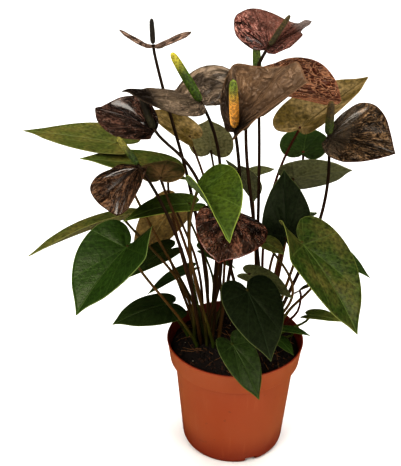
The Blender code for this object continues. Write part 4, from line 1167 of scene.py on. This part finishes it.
def spathe_colour(tree, look, ground, quilt, cloud, along, share):
    """The colour of a spathe, layer by layer, from its ground to its rim."""
    streak = add(tree, "ShaderNodeMapRange", {0: quilt.streaks, 1: 0.5, 2: 0.72, 3: 0.0, 4: 0.6})
    mottle = add(tree, "ShaderNodeMapRange", {0: quilt.fibres, 1: 0.45, 2: 0.65, 3: 0.0,
                                              4: look.mottle})
    soot = add(tree, "ShaderNodeMapRange", {0: quilt.fibres, 1: 0.52, 2: 0.34, 3: 0.0,
                                            4: look.mottle})
    patchy = add(tree, "ShaderNodeMapRange", {0: cloud, 1: 0.35, 2: 0.62})
    outer = add(tree, "ShaderNodeMapRange", {0: share, 1: 0.2, 2: 0.45})
    patches = add(tree, "ShaderNodeMath", {0: patchy, 1: outer}, operation="MULTIPLY")
    sheen_cover = add(tree, "ShaderNodeMath", {0: quilt.rise, 1: patches}, operation="MULTIPLY")
    # Painted sheen: the domes of the cells take a paler colour, and the pale streak colour in streaks
    # and light fibre flecks is partly painted glint.
    quilted = paint(tree, linear(ground), [
        (sheen_cover, look.bulge), (streak, look.streak), (mottle, look.streak), (soot, look.net),
        (quilt.lines, look.net)])
    # Painted shade and highlight: the same folds that raise the bump darken the colour in their hollows
    # and brighten it on their crests.
    tone = add(tree, "ShaderNodeMapRange", {0: quilt.folds, 1: 0.42, 2: 0.62,
                                            3: 1 - FOLD_SHADE_DEPTH * look.mottle,
                                            4: 1 + FOLD_HIGHLIGHT_GAIN * look.mottle},
               interpolation_type="SMOOTHSTEP")
    calm = add(tree, "ShaderNodeMapRange", {0: along, 1: 0.15, 2: 0.5, 3: 0.0, 4: TIP_CALM})
    even = add(tree, "ShaderNodeMix", {0: calm, 2: tone, 3: TIP_FOLD_LEVEL})
    fold_shaded = add(tree, "ShaderNodeVectorMath", {0: quilted, "Scale": even}, operation="SCALE")
    plain = add(tree, "ShaderNodeMapRange", {0: along, 1: 0.0, 2: 0.3, 3: 0.0, 4: look.plain})
    near, far = look.base_mm * MM / UV_UNIT, look.tip_mm * MM / UV_UNIT
    base = add(tree, "ShaderNodeMapRange", {0: along, 1: near + BASE_FADE[0],
                                            2: near + BASE_FADE[1], 3: 0.8, 4: 0.0})
    tip = add(tree, "ShaderNodeMapRange", {0: along, 1: far + TIP_FADE[0], 2: far + TIP_FADE[1]})
    edge = add(tree, "ShaderNodeMapRange", {0: share, 1: 0.965, 2: 1.0, 3: 0.0, 4: 0.8},
               interpolation_type="SMOOTHSTEP")
    # The plain part towards the tip takes the same paler painted sheen as the domes.
    return paint(tree, fold_shaded, [(plain, look.bulge), (base, look.base), (tip, look.tip),
                               (edge, look.rim)])


print("folds take the tone from", round(1 - FOLD_SHADE_DEPTH, 2), "to", 1 + FOLD_HIGHLIGHT_GAIN, "at most")

# %% [markdown]
# ## The wax of a spathe
#
# A coat of wax gives each bulge its own highlight. Real relief for each cell would cost many
# faces, so the bump holds the cells, streaks and folds, and the mesh holds the large forms.
# Young spathes have a smooth, strong coat, old ones a dull and thin one, and backs none.

# %% Spathe finish
CLOUD_SCALE, COAT_ROUGHNESS, FOLD_HEIGHT = 38.0, 0.2, 2.0
QUILT_DEPTH, BACK_DEPTH = 1.8 * MM, 0.9 * MM


def spathe_finish(name, look, upper):
    """Quilted waxy flag, above or below."""
    material, tree, shader = new_material(name)
    flat = add(tree, "ShaderNodeUVMap", uv_map="blade")
    star = add(tree, "ShaderNodeUVMap", uv_map="ray")
    along = add(tree, "ShaderNodeSeparateXYZ", {0: flat}, "X")
    share = add(tree, "ShaderNodeSeparateXYZ", {0: star}, "Y")
    spot = add(tree, "ShaderNodeTexCoord", out="Object")
    cloud = add(tree, "ShaderNodeTexNoise", {"Vector": spot, "Scale": CLOUD_SCALE,
                                             "Detail": 4.0}, "Fac")
    quilt = quilt_pattern(tree, look, flat, star)
    ground = look.ground if upper else look.under
    colour = spathe_colour(tree, look, ground, quilt, cloud, along, share)
    dull = add(tree, "ShaderNodeMapRange", {0: cloud, 1: 0.3, 2: 0.7, 3: look.roughness - 0.06,
                                            4: look.roughness + 0.1})
    ridged = add(tree, "ShaderNodeMath", {0: quilt.rise, 1: quilt.streaks}, operation="ADD")
    height = add(tree, "ShaderNodeMath", {0: quilt.folds, 1: FOLD_HEIGHT, 2: ridged},
                 operation="MULTIPLY_ADD")
    depth = (QUILT_DEPTH if upper else BACK_DEPTH) * look.quilt
    bump = add(tree, "ShaderNodeBump", {"Height": height, "Strength": 1.0, "Distance": depth})
    feed(tree, shader, {"Base Color": colour, "Roughness": dull, "Normal": bump,
                        "Specular IOR Level": 0.5, "Specular Tint": linear("f2e2d4"),
                        "Coat Weight": look.coat if upper else 0.0,
                        "Coat Roughness": COAT_ROUGHNESS})
    return material


SPATHE_FINISHES = {
    name: (spathe_finish("quilted_spathe_" + name, look, True),
           spathe_finish("spathe_back_" + name, look, False))
    for name, look in SPATHE_LOOKS.items()
}
print(2 * len(SPATHE_FINISHES), "spathe finishes")

# %% [markdown]
# ## The blooms
#
# A bloom is a spathe fused with its peduncle, whose end pokes through the spathe and carries
# the spadix. Like a leaf it is one piece, because it grows as one. It has more rings than a
# leaf, since its quilting is deeper, and a rounder stem, since that stands free.

# %% Spathes with their peduncles
SPATHE_RELIEF, SPATHE_MESH, PEDUNCLE_SIDES = 1.7 * MM, (7, 24), 12

face_total = 0
for index, (row, stem) in enumerate(zip(rows, stems)):
    if not isinstance(row, Bloom):
        continue
    skin = Skin()
    add_blade(skin, stem.blade, SPATHE_RELIEF, WAVE_PHASE * index, *SPATHE_MESH)
    path, radius, travel = stem_path(stem, STUB)
    add_tube(skin, path, radius, 2, PEDUNCLE_SIDES)
    skin.make("bloom_" + row.name, [*SPATHE_FINISHES[row.name], STEM_FINISHES["dark_peduncle"]])
    face_total += len(skin.faces)
print(len(BLOOMS), "blooms,", face_total, "faces")

# %% [markdown]
# ## Spadix finish
#
# A spadix is a finger packed with tiny florets. Its colour runs from foot to tip: some are
# green with a yellow tip and some the other way. Florets ripen one by one, so a noise as fine
# as a floret makes some paler than others, and painted shade darkens the hollows round each.
# That shade could be a texture too, but the mesh knows how high each spot is raised and hands
# it over in its "ray" map. A little light passes into the flesh.

# %% Spadix looks
SpadixLook = namedtuple("SpadixLook", "foot tip turn_share")
SPADIX_LOOKS = {
    "top_left": SpadixLook("241a0e", "1a130c", 0.5),
    "top_right": SpadixLook("423a16", "52441e", 0.5),
    "left": SpadixLook("343014", "281e10", 0.5),
    "upper_centre": SpadixLook("4f6a1a", "d2c43e", 0.74),
    "front_centre": SpadixLook("d8973a", "74842a", 0.66),
    "back_centre": SpadixLook("3c5416", "5c7220", 0.5),
    "right": SpadixLook("4e5e1e", "5c4824", 0.45),
    "left_low": SpadixLook("3e541a", "8a8434", 0.55),
    "centre_low": SpadixLook("3c2c18", "4c3820", 0.5),
}
FLORET_MM, HOLLOW_SHADE, FLESH_DEPTH = 2.1, "1a1608", 1.0 * MM


def spadix_finish(name, look):
    """Matte florets: painted shade in the hollows round each, and a colour that turns along the finger.
    """
    material, tree, shader = new_material(name)
    star = add(tree, "ShaderNodeUVMap", uv_map="ray")
    spot = add(tree, "ShaderNodeTexCoord", out="Object")
    raised = add(tree, "ShaderNodeSeparateXYZ", {0: star}, "X")
    share = add(tree, "ShaderNodeSeparateXYZ", {0: star}, "Y")
    blend = add(tree, "ShaderNodeMapRange", {0: share, 1: look.turn_share - 0.2,
                                             2: look.turn_share + 0.25},
                interpolation_type="SMOOTHSTEP")
    ground = paint(tree, linear(look.foot), [(blend, look.tip)])
    speck = add(tree, "ShaderNodeTexNoise", {"Vector": spot, "Scale": 1 / (FLORET_MM * MM),
                                             "Detail": 1.0}, "Fac")
    vary = add(tree, "ShaderNodeMapRange", {0: speck, 1: 0.36, 2: 0.64, 3: 0.5, 4: 1.55})
    varied = add(tree, "ShaderNodeVectorMath", {0: ground, "Scale": vary}, operation="SCALE")
    # Painted shade: the low hollows between florets get the dark colour.
    hollow_shade = add(tree, "ShaderNodeMapRange", {0: raised, 1: 0.15, 2: 0.6, 3: 0.75, 4: 0.0})
    feed(tree, shader, {"Base Color": paint(tree, varied, [(hollow_shade, HOLLOW_SHADE)]), "Roughness": 0.55,
                        "Subsurface Weight": 0.08, "Subsurface Radius": (1.0, 0.8, 0.3),
                        "Subsurface Scale": FLESH_DEPTH})
    return material


print(len(SPADIX_LOOKS), "spadix looks")

# %% [markdown]
# ## The spadices
#
# The florets stand about 2 mm apart in crossing spirals. Hundreds of small copies could be set
# on the finger. It is lighter to raise its surface where two waves that wind opposite ways
# meet, which gives that lattice of small diamonds. The finger is fullest above its foot and
# rounds off at both ends.

# %% Spadices
SPADIX_SIDES, SPADIX_ROWS, LEAST_COLUMNS, FLORET_END = 64, 120, 8, 0.5 * MM
SPADIX_FOOT, SPADIX_MIDDLE, SPADIX_END, END_POWER = 0.9, 0.25, 0.45, 8
FLORET_RELIEF, FLORET_MEAN, LEAST_RADIUS = 0.9 * MM, 0.6, 0.05 * MM
SPADIX_SIDE = np.array([0.3, 1.0, 0.1])


def add_florets(skin, foot, tip, girth):
    """Add the rings of a spadix; return its length, its columns and how raised each point is."""
    axis, length = unit(tip - foot), np.linalg.norm(tip - foot) - FLORET_END
    side = unit(np.cross(axis, SPADIX_SIDE))
    other = np.cross(axis, side)
    columns = max(LEAST_COLUMNS, round(2 * math.pi * girth / (FLORET_MM * MM)))
    turns = round(length / (FLORET_MM * MM))
    florets = []
    for ring in range(SPADIX_ROWS + 1):
        share = ring / SPADIX_ROWS
        end = math.sqrt(max(0, 1 - (2 * share - 1) ** END_POWER))
        body = girth * (SPADIX_FOOT + SPADIX_MIDDLE * share - SPADIX_END * share ** 2) * end
        for k in range(SPADIX_SIDES):
            turn = 2 * math.pi * k / SPADIX_SIDES
            across, climb = columns / 2 * turn, math.pi * turns * share
            floret = abs(math.cos(across + climb) * math.cos(across - climb))
            radius = max(LEAST_RADIUS, body + (floret - FLORET_MEAN) * FLORET_RELIEF * end)
            skin.points.append(foot + axis * length * share
                               + radius * (math.cos(turn) * side + math.sin(turn) * other))
            florets.append(floret)
    return length, columns, florets


def close_spadix(skin, length, florets):
    """Join the rings of a spadix with faces and close both ends."""
    for ring in range(SPADIX_ROWS):
        a = ring * SPADIX_SIDES
        shares = [ring / SPADIX_ROWS] * 2 + [(ring + 1) / SPADIX_ROWS] * 2
        for k in range(SPADIX_SIDES):
            k2 = (k + 1) % SPADIX_SIDES
            corners = [a + k, a + k2, a + SPADIX_SIDES + k2, a + SPADIX_SIDES + k]
            flat = [(share * length / UV_UNIT, k / SPADIX_SIDES) for share in shares]
            skin.face(corners, 0, flat, [(florets[c], s) for c, s in zip(corners, shares)])
    foot = list(range(SPADIX_SIDES))[::-1]
    tip = [SPADIX_ROWS * SPADIX_SIDES + k for k in range(SPADIX_SIDES)]
    for cap, share in ((foot, 0), (tip, 1)):
        skin.face(cap, 0, [(0, 0)] * len(cap), [(1, share)] * len(cap))


for index, foot, tip in spadices:
    row = rows[index]
    skin = Skin()
    length, columns, florets = add_florets(skin, foot, tip, row.girth * MM)
    close_spadix(skin, length, florets)
    finish = spadix_finish("florets_" + row.name, SPADIX_LOOKS[row.name])
    skin.make("spadix_" + row.name, [finish])
print(len(spadices), "spadices, the last with", columns, "columns of florets")

# %% [markdown]
# ## Pot finish
#
# A nursery pot is injection-moulded polypropylene, coloured like terracotta. The moulding
# leaves it smooth with a satin sheen, and its thin wall glows a little where it turns away from
# the eye. Real glow would need light through a thin shell, which renders slowly. A paler colour
# where the surface is seen at a slant (Layer Weight) does it for less. Fine scuffs run down the
# wall and specks of soil cling to it. The inside and the lip have a darker look of their own,
# painted shade where the plant shades the inside of the pot.

# %% Pot finish
PotLook = namedtuple("PotLook", "wall light side foot scuff soil")
POT_OUTSIDE = PotLook("8a3915", "92441d", "a65c30", "7a2b11", "a05832", "4a2818")
# Darker colours for the inside and the lip: painted shade.
POT_INSIDE_SHADE = PotLook("6c2410", "74280f", "6c2410", "5a1c0c", "7c3016", "24120a")
FOOT_TINT, SCUFF_STRETCH, SCUFF_BUMP = 45 * MM, (1.0, 1.0, 0.06), 0.2 * MM
PLASTIC_IOR, GLOW_DEPTH = 1.49, 3.0 * MM


def pot_finish(name, look):
    """Terracotta-coloured polypropylene: satin, a redder foot, fine scuffs and a trace of soil."""
    material, tree, shader = new_material(name)
    spot = add(tree, "ShaderNodeTexCoord", out="Object")
    height = add(tree, "ShaderNodeSeparateXYZ", {0: spot}, "Z")
    low = add(tree, "ShaderNodeMapRange", {0: height, 1: 0.0, 2: FOOT_TINT, 3: 1.0, 4: 0.0},
              interpolation_type="SMOOTHSTEP")
    cloud = add(tree, "ShaderNodeTexNoise", {"Vector": spot, "Scale": 14.0, "Detail": 5.0}, "Fac")
    mottle = add(tree, "ShaderNodeMapRange", {0: cloud, 1: 0.4, 2: 0.7, 3: 0.0, 4: 0.45})
    slant = add(tree, "ShaderNodeLayerWeight", {"Blend": 0.3}, "Facing")
    glow = add(tree, "ShaderNodeMapRange", {0: slant, 1: 0.1, 2: 0.7, 3: 0.0, 4: 0.7})
    flow = add(tree, "ShaderNodeMapping", {"Vector": spot, "Scale": SCUFF_STRETCH})
    lines = add(tree, "ShaderNodeTexNoise", {"Vector": flow, "Scale": 160.0, "Detail": 3.0}, "Fac")
    scuffs = add(tree, "ShaderNodeMapRange", {0: lines, 1: 0.62, 2: 0.74, 3: 0.0, 4: 0.25})
    dirt = add(tree, "ShaderNodeTexNoise", {"Vector": spot, "Scale": 90.0, "Detail": 6.0}, "Fac")
    grains = add(tree, "ShaderNodeMapRange", {0: dirt, 1: 0.66, 2: 0.72, 3: 0.0, 4: 0.35})
    colour = paint(tree, linear(look.wall), [
        (mottle, look.light), (glow, look.side), (low, look.foot), (scuffs, look.scuff),
        (grains, look.soil)])
    gloss = add(tree, "ShaderNodeMapRange", {0: cloud, 1: 0.3, 2: 0.7, 3: 0.36, 4: 0.52})
    bump = add(tree, "ShaderNodeBump", {"Height": lines, "Strength": 0.12, "Distance": SCUFF_BUMP})
    feed(tree, shader, {"Base Color": colour, "Roughness": gloss, "Normal": bump,
                        "IOR": PLASTIC_IOR, "Specular IOR Level": 0.35,
                        "Subsurface Weight": 0.12, "Subsurface Radius": (1.0, 0.35, 0.15),
                        "Subsurface Scale": GLOW_DEPTH})
    return material


POT_FINISHES = [pot_finish("terracotta_polypropylene", POT_OUTSIDE),
                pot_finish("inside_painted_shade", POT_INSIDE_SHADE)]
print(len(POT_FINISHES), "pot finishes")

# %% [markdown]
# ## The pot's profile
#
# The pot has a thin wall, a collar to grip, and a foot ring and a pad to stand on. It could be
# built from cylinders, but a moulded pot is a turned form, so half of its section says it all.
# The profile starts in the middle of the inside, goes out and up to the rim, and comes back
# down the outside to the middle of the underside.

# %% Pot profile
POT_HEIGHT, RIM_RADIUS, COLLAR_HEIGHT, COLLAR_FOOT = 150 * MM, 85 * MM, 28 * MM, 80.5 * MM
WALL_TOP, BASE_RADIUS, POT_WALL, FOOT_BEND = 75 * MM, 65 * MM, 2.2 * MM, 5 * MM
FLOOR_UNDERSIDE, FLOOR_TOP, FOOT_WIDTH, PAD_RADIUS = 9 * MM, 11.5 * MM, 5 * MM, 15 * MM
ledge = POT_HEIGHT - COLLAR_HEIGHT
foot_radius = BASE_RADIUS - FOOT_BEND
POT_PROFILE = [
    (0, FLOOR_TOP), (BASE_RADIUS - POT_WALL, FLOOR_TOP), (WALL_TOP - POT_WALL, ledge),
    (COLLAR_FOOT - POT_WALL, ledge + 2 * MM), (RIM_RADIUS - POT_WALL, POT_HEIGHT - 0.8 * MM),
    (RIM_RADIUS - POT_WALL + 0.3 * MM, POT_HEIGHT - 0.2 * MM),
    (RIM_RADIUS - POT_WALL + 0.9 * MM, POT_HEIGHT), (RIM_RADIUS - 0.8 * MM, POT_HEIGHT),
    (RIM_RADIUS - 0.2 * MM, POT_HEIGHT - 0.3 * MM), (RIM_RADIUS, POT_HEIGHT - 1.0 * MM),
    (RIM_RADIUS - 0.6 * MM, POT_HEIGHT - 4.2 * MM), (RIM_RADIUS - 1.0 * MM, POT_HEIGHT - 4.8 * MM),
    (COLLAR_FOOT + 0.6 * MM, ledge + 1.2 * MM), (COLLAR_FOOT + 0.2 * MM, ledge + 0.3 * MM),
    (COLLAR_FOOT - 0.6 * MM, ledge), (WALL_TOP + 0.8 * MM, ledge - 0.2 * MM),
    (WALL_TOP, ledge - 1.0 * MM), (BASE_RADIUS, 8 * MM), (BASE_RADIUS - 0.4 * MM, 5.6 * MM),
    (BASE_RADIUS - 1.3 * MM, 3.2 * MM), (BASE_RADIUS - 2.7 * MM, 1.2 * MM),
    (BASE_RADIUS - 3.9 * MM, 0.3 * MM), (foot_radius, 0), (foot_radius - FOOT_WIDTH, 0),
    (foot_radius - FOOT_WIDTH - 1 * MM, FLOOR_UNDERSIDE), (PAD_RADIUS + 2 * MM, FLOOR_UNDERSIDE),
    (PAD_RADIUS, 0), (0, 0),
]
print("a profile of", len(POT_PROFILE), "points")

# %% [markdown]
# ## The pot
#
# A Screw modifier turns the profile in 128 steps, so that the rim stays round. Three notches in
# the foot let water out. They could be left open in the turned mesh, but the cuts would have to
# fit its steps, so each is cut with a Boolean. The faces of the inside and the lip get the
# darker finish with the painted shade of the inside.

# %% Pot
POT_STEPS, SAME_SPOT, SHARP_ANGLE = 128, 0.02 * MM, math.radians(32)
NOTCH_SIZE, NOTCH_ANGLES = (24 * MM, 15 * MM, 7.5 * MM), (53, 173, 293)


def apply_modifiers(obj):
    """Turn what the modifiers show into the object's own mesh."""
    graph = bpy.context.evaluated_depsgraph_get()
    mesh = bpy.data.meshes.new_from_object(obj.evaluated_get(graph))
    obj.modifiers.clear()
    obj.data = mesh


pot_mesh = bpy.data.meshes.new("pot")
pot_mesh.from_pydata([(r, 0, z) for r, z in POT_PROFILE],
                     [(k, k + 1) for k in range(len(POT_PROFILE) - 1)], [])
pot = bpy.data.objects.new("pot_look", pot_mesh)
bpy.context.scene.collection.objects.link(pot)
turned = pot.modifiers.new("turn", "SCREW")
turned.steps = turned.render_steps = POT_STEPS
turned.use_merge_vertices = True
turned.merge_threshold = SAME_SPOT
apply_modifiers(pot)
for degrees in NOTCH_ANGLES:
    turn = math.radians(degrees)
    bpy.ops.mesh.primitive_cube_add(size=1)
    notch = bpy.context.active_object
    notch.scale = (NOTCH_SIZE[0], NOTCH_SIZE[1], 2 * NOTCH_SIZE[2])
    notch.rotation_euler = (0, 0, turn)
    notch.location = (foot_radius * math.cos(turn), foot_radius * math.sin(turn), 0)
    cut = pot.modifiers.new("notch", "BOOLEAN")
    cut.object = notch
    cut.solver = "EXACT"
    apply_modifiers(pot)
    bpy.data.objects.remove(notch)
pot.data.materials.clear()
for finish in POT_FINISHES:
    pot.data.materials.append(finish)
# Faces inside and on the lip take the darker finish with painted shade.
for face in pot.data.polygons:
    inward = face.normal.x * face.center.x + face.normal.y * face.center.y < 0
    lip = face.normal.z > 0.5 and face.center.z > ledge
    face.material_index = 1 if (inward or lip) and face.center.z > FLOOR_TOP else 0
pot.data.shade_smooth()
pot.data.set_sharp_from_angle(angle=SHARP_ANGLE)
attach(pot, "root")
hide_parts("pot")
print("pot of", len(pot.data.polygons), "faces")

# %% [markdown]
# ## Peat finish
#
# Potting peat is dark, fibrous and crumbly, rough at every scale. Fine crumbs could be mesh
# all the way down, but below a millimetre a noise in colour and bump looks the same. Moist
# peat, dry crumbs, pale perlite and brown roots are one finish with different colours.

# %% Peat finishes
PEAT_BUMP, PEAT_GRAIN = 0.9 * MM, 420.0


def peat_finish(name, dark, light, roughness):
    """Moist peat: dark fibres and paler dry crumbs, rough at every scale."""
    material, tree, shader = new_material(name)
    spot = add(tree, "ShaderNodeTexCoord", out="Object")
    crumb = add(tree, "ShaderNodeTexNoise", {"Vector": spot, "Scale": PEAT_GRAIN, "Detail": 8.0,
                                             "Roughness": 0.7}, "Fac")
    share = add(tree, "ShaderNodeMapRange", {0: crumb, 1: 0.42, 2: 0.7})
    bump = add(tree, "ShaderNodeBump", {"Height": crumb, "Strength": 0.8, "Distance": PEAT_BUMP})
    feed(tree, shader, {"Base Color": paint(tree, linear(dark), [(share, light)]),
                        "Roughness": roughness, "Normal": bump})
    return material


PEAT_FINISHES = [peat_finish("moist_peat", "0a0402", "200e05", 0.9),
                 peat_finish("dry_peat_crumbs", "1c0d05", "4a2a12", 0.95),
                 peat_finish("perlite_grains", "8a8272", "b4ac9a", 0.85),
                 peat_finish("fine_roots", "563518", "8a6034", 0.7)]
print(len(PEAT_FINISHES), "peat finishes")

# %% [markdown]
# ## The ground of the pot
#
# Watering leaves the peat in low lumps. Its top could be sculpted, but two crossing waves and
# a fine fractal noise give lumps that a formula can repeat, so that crumbs and roots find the
# height they have to lie at. Towards the pot's wall the lumps calm down, and a skirt goes down
# out of sight.

# %% Ground
PEAT_LUMP, PEAT_RINGS, PEAT_STEPS, PEAT_SKIRT = 2.2 * MM, 44, 120, 12 * MM
PEAT_EDGE, FINE_LUMP, FINE_SIZE = COLLAR_FOOT - POT_WALL - 0.4 * MM, 0.8 * MM, 5 * MM
FINE_FALL, FINE_RATIO, FINE_OCTAVES = 0.7, 2.2, 3


def lump(x, y):
    """Height of the peat's lumps at a point, as a share from -1 to 1."""
    a = math.sin(x / (9 * MM) + 1.3) * math.cos(y / (11 * MM) - 0.4)
    b = math.sin((x + y) / (15 * MM) + 2.1) * math.cos((x - y) / (7 * MM))
    return 0.5 * a + 0.5 * b


def peat_height(x, y):
    """The level of the peat at a point."""
    calm = max(0, 1 - (math.hypot(x, y) / PEAT_EDGE) ** 6)
    fine = noise.fractal(Vector((x, y, 0)) / FINE_SIZE, FINE_FALL, FINE_RATIO, FINE_OCTAVES)
    return PEAT_LEVEL + PEAT_LUMP * lump(x, y) * calm + FINE_LUMP * fine


skin = Skin()
for ring in range(PEAT_RINGS + 2):
    for k in range(PEAT_STEPS):
        turn = 2 * math.pi * k / PEAT_STEPS
        reach = PEAT_EDGE * min(ring, PEAT_RINGS) / PEAT_RINGS
        x, y = reach * math.cos(turn), reach * math.sin(turn)
        level = peat_height(x, y) if ring <= PEAT_RINGS else PEAT_LEVEL - PEAT_SKIRT
        skin.points.append((x, y, level))
for ring in range(PEAT_RINGS + 1):
    for k in range(PEAT_STEPS):
        k2 = (k + 1) % PEAT_STEPS
        a = ring * PEAT_STEPS
        skin.face([a + k, a + PEAT_STEPS + k, a + PEAT_STEPS + k2, a + k2], 0,
                  [(0, 0)] * 4, [(0, 0)] * 4)
print("ground of", len(skin.faces), "faces")

# %% [markdown]
# ## Crumbs, grains and roots
#
# Crumbs of 1 to 6 mm lie all over the peat, with a few pale grains of perlite, and many fine
# brown roots run over it. Copies of one crumb could be scattered, but they would look alike, so
# each is a rough lump with corners of its own. All of it goes into the peat's one mesh. The
# random draws are seeded, so each run gives the same ground.

# %% Crumbs, grains and roots
CRUMBS, GRAINS, ROOTS, SEED = 760, 7, 58, 7
CRUMB_SIZE, CRUMB_SINK, GRAIN_LIFT, BARE_EDGE = 3.0 * MM, 0.1, 0.4 * MM, 2 * MM
ROOT_STEP, ROOT_SWAY, ROOT_TAPER, ROOT_SIDES = 2.2 * MM, 0.22, 0.6, 5
draw = random.Random(SEED)


def add_lump(skin, centre, size, finish):
    """A rough little lump: an icosahedron whose corners are moved by chance."""
    work = bmesh.new()
    bmesh.ops.create_icosphere(work, subdivisions=1, radius=1)
    first = len(skin.points)
    stretch = [draw.uniform(0.6, 1.3) for _ in range(3)]
    for vertex in work.verts:
        rough = draw.uniform(0.75, 1.2)
        skin.points.append([c + size * s * rough * v for c, s, v in zip(centre, stretch, vertex.co)])
    for face in work.faces:
        skin.face([first + v.index for v in face.verts], finish, [(0, 0)] * 3, [(0, 0)] * 3)
    work.free()


def spot_on_peat():
    """A place anywhere on the peat, drawn by chance."""
    reach, turn = (PEAT_EDGE - BARE_EDGE) * math.sqrt(draw.random()), draw.uniform(0, 2 * math.pi)
    return reach * math.cos(turn), reach * math.sin(turn)


for _ in range(CRUMBS):
    x, y = spot_on_peat()
    size = draw.uniform(0.45, 1.0) ** 2 * CRUMB_SIZE
    add_lump(skin, (x, y, peat_height(x, y) + CRUMB_SINK * size), size, draw.choice((0, 0, 1)))
for _ in range(GRAINS):
    x, y = spot_on_peat()
    add_lump(skin, (x, y, peat_height(x, y) + GRAIN_LIFT), draw.uniform(0.6, 1.3) * MM, 2)
for _ in range(ROOTS):
    x, y = spot_on_peat()
    heading, path = draw.uniform(0, 2 * math.pi), []
    for _ in range(draw.randint(8, 18)):
        if math.hypot(x, y) > PEAT_EDGE - BARE_EDGE:
            break
        path.append((x, y, peat_height(x, y) + draw.uniform(0.2, 1.2) * MM))
        heading += draw.uniform(-ROOT_SWAY, ROOT_SWAY)
        x, y = x + ROOT_STEP * math.cos(heading), y + ROOT_STEP * math.sin(heading)
    if len(path) > 3:
        thick = draw.uniform(0.3, 0.9) * MM
        radii = [thick * (1 - ROOT_TAPER * k / len(path)) for k in range(len(path))]
        add_tube(skin, path, radii, 3, ROOT_SIDES)
skin.make("peat", PEAT_FINISHES)
print("peat of", len(skin.faces), "faces")
